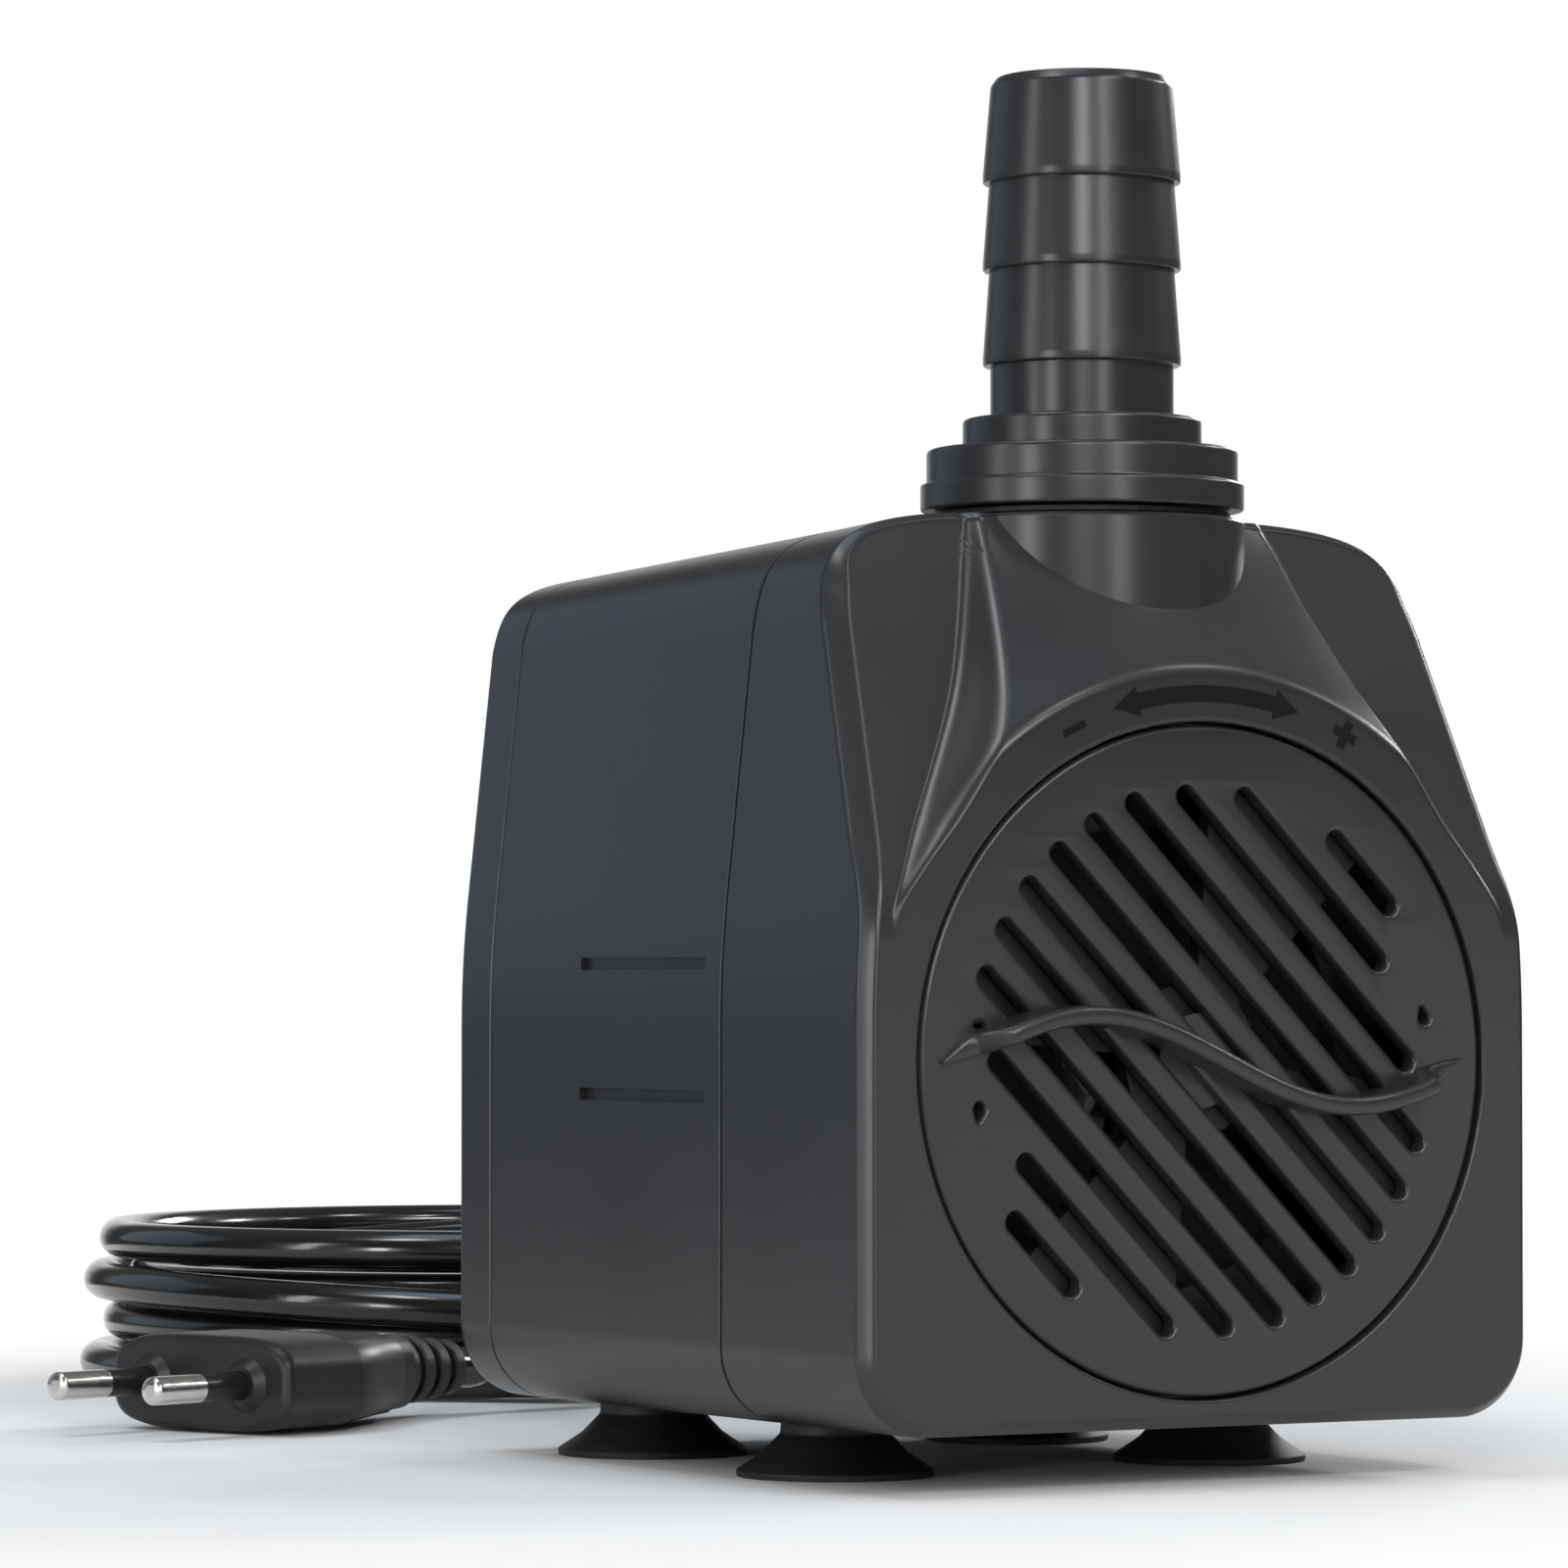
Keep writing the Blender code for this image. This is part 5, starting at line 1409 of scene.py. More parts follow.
@dataclass
class OutletNozzle:
    """Barbed hose nozzle on its stepped collar."""

    form: BodyForm
    base: float = 117.1 * MM
    spigot_radius: float = 11.9 * MM
    spigot_length: float = 11.0 * MM
    bore: float = 9.3 * MM
    collars: tuple[Point2, ...] = ((21.0 * MM, 3.5 * MM), (20.2 * MM, 4.5 * MM), (15.5 * MM, 4.0 * MM))
    pipe_radius: float = 11.9 * MM
    barb_wide: float = 12.85 * MM
    barb_narrow: float = 12.05 * MM
    barb_feet: tuple[float, ...] = (18.9 * MM, 31.3 * MM, 42.7 * MM)
    height: float = 56.5 * MM

    def build(self) -> bpy.types.Object:
        """Make the nozzle.

        Returns:
            The finished piece.
        """
        top = self.height
        line: list[Point3] = [(self.bore, -self.spigot_length, 0.0)]
        line += [(self.spigot_radius, -self.spigot_length, 0.5 * MM), (self.spigot_radius, 0.0, 0.2 * MM)]
        line.append((self.collars[0][0], 0.0, 0.4 * MM))
        level = 0.0
        inner_radii = [radius for radius, _ in self.collars[1:]] + [self.pipe_radius]
        for (radius, height), inner in zip(self.collars, inner_radii):
            level += height
            line += [(radius, level, 0.7 * MM), (inner, level, 0.35 * MM)]
        neck = self.pipe_radius
        for low, high in zip(self.barb_feet, (*self.barb_feet[1:], top)):
            line.append((neck, low, 0.15 * MM))
            neck = self.barb_narrow
            line += [(self.barb_wide, low, 0.3 * MM), (self.barb_wide, low + 1.1 * MM, 0.8 * MM)]
            if high == top:
                line.append((self.barb_narrow - 0.2 * MM, top - 1.2 * MM, 1.0 * MM))
            else:
                line.append((self.barb_narrow, high - 0.05 * MM, 0.0))
        line += [(self.barb_narrow - 1.0 * MM, top, 0.7 * MM), (self.bore + 0.4 * MM, top, 0.4 * MM)]
        line.append((self.bore, top - 0.8 * MM, 0.0))
        place = self.form.at(0.0, self.form.neck_depth, self.base)
        nozzle = Sculptor.turned("barbed_nozzle", Sculptor.rounded(line), place, 160)
        return Sculptor.smooth(nozzle, 40.0)


@dataclass
class SuctionFeet:
    """Four rubber suction cups, each with a stem buttoned through the casing's floor."""

    form: BodyForm
    radius: float = 12.8 * MM
    top_radius: float = 6.6 * MM
    stem_radius: float = 2.7 * MM
    button_radius: float = 3.8 * MM
    button_height: float = 2.2 * MM
    rim: float = 0.8 * MM
    hollow: float = 3.0 * MM

    def _profile(self) -> list[Point2]:
        """The cup's turned outline, from the hollow's middle to the button's top.

        Returns:
            Radius and height of each point.
        """
        top = self.form.foot_height - self.form.seam_gap
        button = self.form.foot_height + self.form.wall + self.form.seam_gap
        line = [
            (0.0, self.hollow, 0.0),
            (self.top_radius, self.hollow * 0.72, 2.0 * MM),
            (self.radius - 1.1 * MM, 0.0, 0.3 * MM),
            (self.radius - 0.1 * MM, 0.0, 0.1 * MM),
            (self.radius, self.rim, 0.25 * MM),
            (self.radius * 0.74, top * 0.42, 3.0 * MM),
            (self.top_radius + 0.5 * MM, top - 1.7 * MM, 0.8 * MM),
            (self.top_radius + 0.4 * MM, top, 0.35 * MM),
            (self.stem_radius, top, 0.15 * MM),
            (self.stem_radius, button, 0.15 * MM),
            (self.button_radius, button, 0.3 * MM),
            (self.button_radius * 0.7, button + self.button_height, 0.6 * MM),
            (0.0, button + self.button_height, 0.0),
        ]
        return Sculptor.rounded(line, 6)

    def build(self) -> dict[str, bpy.types.Object]:
        """Make the four feet.

        Returns:
            Each foot by the name of the node it stands for.
        """
        made = {}
        for row, depth in zip(("front", "rear"), self.form.cup_depths):
            for side, sign in (("left", -1), ("right", 1)):
                place = (sign * self.form.cup_half, depth + self.form.front_y, 0.0)
                foot = Sculptor.turned(f"foot_{row}_{side}", self._profile(), place, 96)
                made[f"suction_cup_{row}_{side}"] = Sculptor.smooth(foot, 45.0)
        return made


@dataclass
class MainsLead:
    """Free cord from the gland through the coil to the plug."""

    form: BodyForm
    diameter: float = 6.0 * MM
    gland_z: float = 19.6 * MM
    gland_radius: float = 4.6 * MM
    gland_collar: float = 6.4 * MM
    gland_flange: float = 2.0 * MM
    gland_length: float = 36.0 * MM
    gland_ribs: int = 7
    coil_centre: Point2 = (40.0 * MM, 210.75 * MM)
    coil_radius: float = 67.0 * MM
    coil_layers: int = 4
    coil_step: float = 6.7 * MM
    layer_height: float = 6.5 * MM
    start_angle: float = -140.0
    end_angle: float = -75.0
    whole_turns: int = 5
    points_per_turn: int = 24
    floor: float = 3.15 * MM
    exit: Point3 = (0.0280, 0.0934, 0.0196)
    lead_route: tuple[Point3, ...] = (
        (0.0280, 0.0880, 0.0196), (0.0280, 0.0934, 0.0196), (0.0280, 0.1030, 0.0193),
        (0.0271, 0.1140, 0.0168), (0.0237, 0.1260, 0.0112), (0.0177, 0.1380, 0.0061),
        (0.0093, 0.1490, 0.0037),
    )
    tail_route: tuple[Point3, ...] = (
        (0.0360, 0.1406, 0.0215), (0.0220, 0.1370, 0.0187), (0.0080, 0.1333, 0.0143),
        (-0.0030, 0.1303, 0.0103),
    )
    plug_entry: Point3 = (-0.0150, 0.1266, 0.0071)
    plug_heading: float = 200.0

    def build_gland(self) -> bpy.types.Object:
        """Make the tapered, ribbed strain relief at the rear cover.

        Returns:
            The finished piece.
        """
        form = self.form
        gap = form.seam_gap
        begin = form.length - form.wall - gap - self.gland_flange
        collar = self.gland_flange + form.wall + 2 * gap
        tip = collar + self.gland_length
        line: list[Point3] = [
            (0.0, 0.0, 0.0), (self.gland_collar, 0.0, 0.3 * MM),
            (self.gland_collar, self.gland_flange, 0.3 * MM),
            (self.gland_radius, self.gland_flange, 0.1 * MM), (self.gland_radius, collar, 0.1 * MM),
            (self.gland_collar, collar, 0.4 * MM), (self.gland_collar, collar + 4.0 * MM, 0.6 * MM),
        ]
        ribs = self.gland_ribs
        pitch = (self.gland_length - 6.0 * MM) / ribs
        for index in range(ribs):
            low = collar + 5.0 * MM + index * pitch
            outer = self.gland_collar - 0.9 * MM - 1.5 * MM * index / ribs
            groove = outer - 0.9 * MM
            line += [(groove, low - 0.4 * MM, 0.2 * MM), (groove, low + 0.9 * MM, 0.2 * MM)]
            line += [(outer, low + 1.1 * MM, 0.3 * MM), (outer - 0.15 * MM, low + pitch - 0.6 * MM, 0.3 * MM)]
        line += [(self.diameter / 2 + 0.9 * MM, tip, 0.5 * MM), (0.0, tip, 0.0)]
        place = (form.gland_x, begin + form.front_y, self.gland_z)
        relief = Sculptor.turned("strain_relief", Sculptor.rounded(line), place, 64, True)
        return Sculptor.smooth(relief, 40.0)

    def _coil_point(self, turned: float, turns: float) -> Vector:
        """Place of the coil's middle line after some turns, clockwise from above.

        Args:
            turned: The turns made so far.
            turns: All the turns of the coil.

        Returns:
            The place in the world.
        """
        per_layer = turns / self.coil_layers
        layer = min(self.coil_layers - 1, int(turned / per_layer))
        within = turned - layer * per_layer
        inward = within if layer % 2 == 0 else per_layer - within
        radius = self.coil_radius - self.coil_step * inward
        height = 0.0
        for reversal in range(1, self.coil_layers):
            climb = min(1.0, max(0.0, (turned - reversal * per_layer + 0.25) / 0.5))
            height += Sculptor.ease(climb)
        angle = math.radians(self.start_angle - 360 * turned)
        x = self.coil_centre[0] + radius * math.cos(angle)
        y = self.coil_centre[1] + radius * math.sin(angle)
        return Vector((x, y, self.floor + self.layer_height * height))

    def _middle_line(self) -> list[Vector]:
        """The cord's middle line from the gland to inside the plug's relief.

        Returns:
            Close points along the line.
        """
        turns = self.whole_turns + ((self.start_angle - self.end_angle) % 360) / 360
        count = round(turns * self.points_per_turn)
        coil = [self._coil_point(turns * index / count, turns) for index in range(count + 1)]
        head = (coil[0] - coil[1]).normalized() * self.diameter
        tail = (coil[-1] - coil[-2]).normalized() * self.diameter
        coil = [coil[0] + head] + coil + [coil[-1] + tail]
        heading = math.radians(self.plug_heading)
        way = Vector((math.cos(heading), math.sin(heading), 0.0))
        entry = Vector(self.plug_entry)
        ends = [entry - way * self.diameter, entry, entry + way * self.diameter]
        knots = [Vector(point) for point in self.lead_route] + coil
        knots += [Vector(point) for point in self.tail_route] + ends
        return self._smooth(knots, 3)

    @staticmethod
    def _smooth(knots: Sequence[Vector], per_span: int) -> list[Vector]:
        """Points along a smooth curve through knots.

        Args:
            knots: Points that the curve passes through.
            per_span: Points in each span.

        Returns:
            The denser line.
        """
        padded = [2 * knots[0] - knots[1], *knots, 2 * knots[-1] - knots[-2]]
        line = []
        for index in range(1, len(padded) - 2):
            a, b, c, d = padded[index - 1:index + 3]
            for step in range(per_span):
                t = step / per_span
                pull = 2 * b + (c - a) * t + (2 * a - 5 * b + 4 * c - d) * t * t
                line.append((pull + (3 * b - a - 3 * c + d) * t ** 3) / 2)
        return line + [knots[-1]]

    def build_cord(self) -> tuple[bpy.types.Object, float]:
        """Make the cord as one curve.

        Returns:
            The cord and its length.
        """
        line = self._middle_line()
        curve = bpy.data.curves.new("mains_cord", "CURVE")
        curve.dimensions = "3D"
        curve.bevel_depth = self.diameter / 2
        curve.bevel_resolution = 6
        curve.use_fill_caps = True
        spline = curve.splines.new("POLY")
        spline.points.add(len(line) - 1)
        for point, place in zip(spline.points, line):
            point.co = (*place, 1)
        spline.use_smooth = True
        cord = bpy.data.objects.new("mains_cord", curve)
        bpy.context.scene.collection.objects.link(cord)
        return cord, sum((after - before).length for before, after in zip(line, line[1:]))


@dataclass
class MainsPlug:
    """Flat two-pin plug with a ribbed grip, lying on its broad side."""

    entry: Point3
    heading: float
    half_width: float = 17.6 * MM
    half_thickness: float = 6.8 * MM
    relief_length: float = 15.0 * MM
    relief_grooves: int = 4
    taper_length: float = 21.0 * MM
    head_length: float = 16.0 * MM
    rib_pitch: float = 1.1 * MM
    rib_height: float = 0.24 * MM
    rib_step: float = 0.1375 * MM
    pin_radius: float = 2.0 * MM
    pin_length: float = 19.0 * MM
    pin_root: float = 6.0 * MM
    pin_spacing: float = 18.6 * MM
    sleeve_length: float = 9.5 * MM
    steps: int = 96

    @property
    def place(self) -> Matrix:
        """Where the plug's own frame is: X along the pins, Z up."""
        return Matrix.Translation(self.entry) @ Matrix.Rotation(math.radians(self.heading), 4, "Z")

    @property
    def face(self) -> float:
        """Distance from the cord's entry to the plug's face."""
        return self.relief_length + self.taper_length + self.head_length

    def _ring(self, along: float, wide: float, thick: float, square: float, rib: float = 0.0) -> np.ndarray:
        """A rounded section of the plug.

        Args:
            along: Distance from the cord's entry.
            wide: Half of its width.
            thick: Half of its thickness.
            square: Power of the rounding: 1 is an ellipse, less is squarer.
            rib: How far the grip's ribs stand out of the broad faces here.

        Returns:
            The ring's points in the plug's frame.
        """
        angles = np.linspace(0, 2 * math.pi, self.steps, endpoint=False)
        c = np.cos(angles)
        s = np.sin(angles)
        y = np.sign(c) * np.abs(c) ** square * wide
        z = np.sign(s) * np.abs(s) ** square * thick
        panel = np.clip((0.74 - np.abs(y) / wide) / 0.06, 0.0, 1.0)
        z = z + np.sign(s) * panel * rib
        return np.stack([np.full(self.steps, along), y, z], axis=1)

    def _relief(self) -> list[np.ndarray]:
        """Rings of the relief with its grooves.

        Returns:
            The rings from the cord to the plug's body.
        """
        rings = []
        pitch = self.relief_length / self.relief_grooves
        for index in range(self.relief_grooves):
            outer = (4.0 + 0.45 * index) * MM
            low = index * pitch
            groove = outer - 0.95 * MM
            for share, radius in (
                (0.0, outer - 0.25 * MM), (0.08, outer), (0.50, outer), (0.58, outer - 0.25 * MM),
                (0.62, groove), (0.94, groove),
            ):
                rings.append(self._ring(low + share * pitch, radius, radius, 1.0))
        return rings

    def build_body(self) -> bpy.types.Object:
        """Make the moulded body.

        Returns:
            The finished piece.
        """
        wide = self.half_width
        thick = self.half_thickness
        rings = self._relief()
        start = self.relief_length
        for share, width, height, square in (
            (0.0, 0.40, 0.74, 0.62), (0.2, 0.43, 0.79, 0.55),
            (3.0, 0.45, 0.82, 0.55), (3.3, 0.44, 0.80, 0.55),
        ):
            rings.append(self._ring(start + share * MM, wide * width, thick * height, square))
        end = start + self.taper_length
        panel_start = start + 4.2 * MM
        panel_end = end - 1.6 * MM
        for along in np.arange(start + 3.6 * MM, end - 0.05 * MM, self.rib_step):
            share = (along - start) / self.taper_length
            swell = Sculptor.ease(share)
            width = wide * (0.46 + 0.46 * swell)
            rib = 0.0
            if panel_start < along < panel_end:
                phase = ((along - panel_start) % self.rib_pitch) / self.rib_pitch
                rib = self.rib_height * (1.0 if phase < 0.5 else -0.2)
            rings.append(self._ring(along, width, thick * (0.82 + 0.10 * swell), 0.55, rib))
        last = self.head_length / MM
        for offset, width, height in (
            (0.0, 0.93, 0.925), (0.25, 0.975, 0.97), (0.7, 1.0, 1.0), (last - 1.6, 1.0, 1.0),
            (last - 0.7, 0.985, 0.96), (last - 0.2, 0.95, 0.90), (last, 0.91, 0.83),
        ):
            rings.append(self._ring(end + offset * MM, wide * width, thick * height, 0.55))
        body = Sculptor.skin("plug_shell", rings)
        for sign in (-1, 1):
            profile = [(0.0, -1.0 * MM), (3.9 * MM, -1.0 * MM), (3.9 * MM, 0.0), (3.5 * MM, 0.35 * MM)]
            profile += [(2.75 * MM, 1.3 * MM), (0.0, 1.3 * MM)]
            boss = Sculptor.turned("pin_boss", profile, (0, 0, 0), 64)
            boss.data.transform(self._pin_frame(sign, self.face))
            Sculptor.join(body, boss)
            bore = self.pin_radius + 0.05 * MM
            hole = Sculptor.rod("pin_hole", bore, (0, 0, 0), 3 * self.pin_root, False, 48)
            hole.data.transform(self._pin_frame(sign, self.face - self.pin_root))
            Sculptor.cut(body, hole)
        body.data.transform(self.place)
        return Sculptor.smooth(body, 34.0)

    def _pin_frame(self, sign: int, along: float) -> Matrix:
        """A frame on a pin's axis with Z along the pin."""
        move = Matrix.Translation((along, sign * self.pin_spacing / 2, 0.0))
        return move @ Matrix.Rotation(math.pi / 2, 4, "Y")

    def build_pins(self) -> dict[str, tuple[bpy.types.Object, bpy.types.Object]]:
        """Make each pin and the sleeve round its root.

        Returns:
            Pin and sleeve by the name of the node they stand for.
        """
        made = {}
        reach = self.pin_root + self.pin_length
        bare = self.pin_root + self.sleeve_length
        thin = self.pin_radius - 0.25 * MM
        pin_line = [
            (0.0, 0.3 * MM, 0.0), (thin, 0.3 * MM, 0.1 * MM), (thin, bare, 0.02 * MM),
            (self.pin_radius, bare, 0.1 * MM), (self.pin_radius, reach - 0.2 * MM, 1.2 * MM),
            (0.9 * MM, reach, 0.4 * MM), (0.0, reach, 0.0),
        ]
        outer = self.pin_radius - 0.05 * MM
        sleeve_line = [(thin, 0.3 * MM), (outer, 0.3 * MM), (outer, bare - 0.25 * MM)]
        sleeve_line += [(outer - 0.12 * MM, bare - 0.02 * MM), (thin, bare - 0.02 * MM)]
        for side, sign in (("left", 1), ("right", -1)):
            frame = self.place @ self._pin_frame(sign, self.face - self.pin_root)
            pin = Sculptor.turned(f"pin_{side}", Sculptor.rounded(pin_line), (0, 0, 0), 64)
            sleeve = Sculptor.turned(f"pin_sleeve_{side}", sleeve_line, (0, 0, 0), 64)
            for item in (pin, sleeve):
                item.data.transform(frame)
                Sculptor.smooth(item, 40.0)
            made[f"plug_pin_{side}"] = (pin, sleeve)
        return made


@dataclass
class PumpWheel:
    """Impeller with its vanes, the shaft that it turns on and the seal of its chamber."""

    bore: float = 1.75 * MM
    sleeve_radius: float = 4.0 * MM
    hub_radius: float = 6.0 * MM
    vane_count: int = 6
    vane_height: float = 7.0 * MM
    vane_half: float = 0.8 * MM
    disc: float = 1.5 * MM
    rim: float = 0.3 * MM
    seal_inner: float = 32.1 * MM

    @staticmethod
    def _place(node: str) -> tuple[Point3, float, float]:
        """Start of a round node's axis, its radius and its length."""
        low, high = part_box(node)
        return (0.0, low.y, (low.z + high.z) / 2), (high.x - low.x) / 2, high.y - low.y

    def build_impeller(self) -> bpy.types.Object:
        """Make the impeller.

        Returns:
            The finished piece.
        """
        place, radius, length = self._place("impeller")
        back = self.vane_height + self.disc
        line = [
            (self.bore, length, 0.0), (self.sleeve_radius, length, self.rim),
            (self.sleeve_radius, back, self.rim), (radius, back, 0.5 * MM),
            (radius, self.vane_height, 0.5 * MM), (self.hub_radius, self.vane_height, 0.8 * MM),
            (self.hub_radius, 0.0, 0.7 * MM), (self.bore, 0.0, 0.0),
        ]
        wheel = Sculptor.turned("impeller_wheel", Sculptor.rounded(line), place, 128, True)
        for index in range(self.vane_count):
            angle = 2 * math.pi * index / self.vane_count
            Sculptor.join(wheel, self._vane(place, radius, angle))
        return Sculptor.smooth(wheel, 34.0)

    def _vane(self, place: Point3, radius: float, angle: float) -> bpy.types.Object:
        """One vane with a rounded edge and tip.

        Args:
            place: The middle of the wheel's front.
            radius: The wheel's radius.
            angle: The vane's angle in radians.

        Returns:
            The vane.
        """
        deep = self.vane_height + self.disc / 2
        edge = [(across, depth * MM) for across, depth in ((1, 0.6), (0.9, 0.25), (0.6, 0.05), (0.3, 0.0))]
        section = [(1.0, deep), *edge, *((-across, depth) for across, depth in reversed(edge)), (-1.0, deep)]
        outward = np.array([math.cos(angle), 0.0, math.sin(angle)])
        sideways = np.array([-math.sin(angle), 0.0, math.cos(angle)])
        root = radius - self.hub_radius + 0.5 * MM
        rings = []
        for short, share in ((root, 1.0), (0.9 * MM, 1.0), (0.5 * MM, 0.85), (0.3 * MM, 0.5)):
            ring = []
            for across, depth in section:
                spot = outward * (radius - short) + sideways * across * self.vane_half * share
                ring.append(spot + np.array([0.0, depth, 0.0]))
            rings.append(np.array(ring) + np.array(place))
        return Sculptor.skin("vane", rings)

    def build_shaft(self) -> bpy.types.Object:
        """Make the ceramic shaft with its rounded ends.

        Returns:
            The shaft.
        """
        place, radius, length = self._place("rotor_shaft")
        line = [(0.0, 0.0, 0.0), (radius, 0.0, 0.5 * MM), (radius, length, 0.5 * MM), (0.0, length, 0.0)]
        return Sculptor.smooth(Sculptor.turned("shaft_rod", Sculptor.rounded(line), place, 48, True))

    def build_seal(self) -> bpy.types.Object:
        """Make the round rubber ring in the flange's groove.

        Returns:
            The ring.
        """
        place, radius, thick = self._place("chamber_seal")
        middle = (self.seal_inner + radius) / 2
        half = (radius - self.seal_inner) / 2
        line = [
            (middle + half * math.cos(turn), thick / 2 * (1 + math.sin(turn)))
            for turn in np.linspace(0.0, 2 * math.pi, 20, endpoint=False)
        ]
        return Sculptor.smooth(Sculptor.turned("chamber_ring", line, place, 160, True))


class InnerWorks:
    """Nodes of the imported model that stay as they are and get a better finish."""

    FINISH_OF: dict[str, Finish] = {
        # The intake plate's darker colour is painted shade of the recess behind the dial.
        "intake_plate": Finishes.SHADED_GRILLE,
        "chamber_cover": Finishes.INNER,
        "nozzle_seal": Finishes.RUBBER,
        "front_bush": Finishes.RUBBER,
        "rear_bush": Finishes.RUBBER,
        "rotor_magnet": Finishes.FERRITE,
        "stator_core": Finishes.STEEL,
        "coil_bobbin_left": Finishes.WHITE,
        "coil_bobbin_right": Finishes.WHITE,
        "winding_left": Finishes.COPPER,
        "winding_right": Finishes.COPPER,
    }

    def __init__(self, shop: Workshop) -> None:
        """Keep the workshop whose nodes are dressed."""
        self._shop = shop

    def dress(self) -> None:
        """Give each kept node its finish."""
        for name, finish in self.FINISH_OF.items():
            node = self._shop.frame["nodes"][name]
            skin = self._shop.finishes.get(finish)
            node.data.materials.clear()
            node.data.materials.append(skin)
            LOG.info("%s: %s, kept", name, finish.name)


@dataclass(frozen=True)
class SoftLamp:
    """A soft rectangular studio lamp."""

    name: str
    place: Point3
    aim: Point3
    size: Point2
    power: float
    colour: Colour = (1.0, 1.0, 1.0)

    def build(self) -> bpy.types.Object:
        """Make the lamp, turned to what it lights.

        Returns:
            The lamp.
        """
        light = bpy.data.lights.new(self.name, "AREA")
        light.shape = "RECTANGLE"
        light.size, light.size_y = self.size
        light.energy = self.power
        light.color = self.colour
        lamp = bpy.data.objects.new(self.name, light)
        lamp.location = self.place
        lamp.rotation_euler = (Vector(self.aim) - Vector(self.place)).to_track_quat("-Z", "Y").to_euler()
        bpy.context.scene.collection.objects.link(lamp)
        return lamp


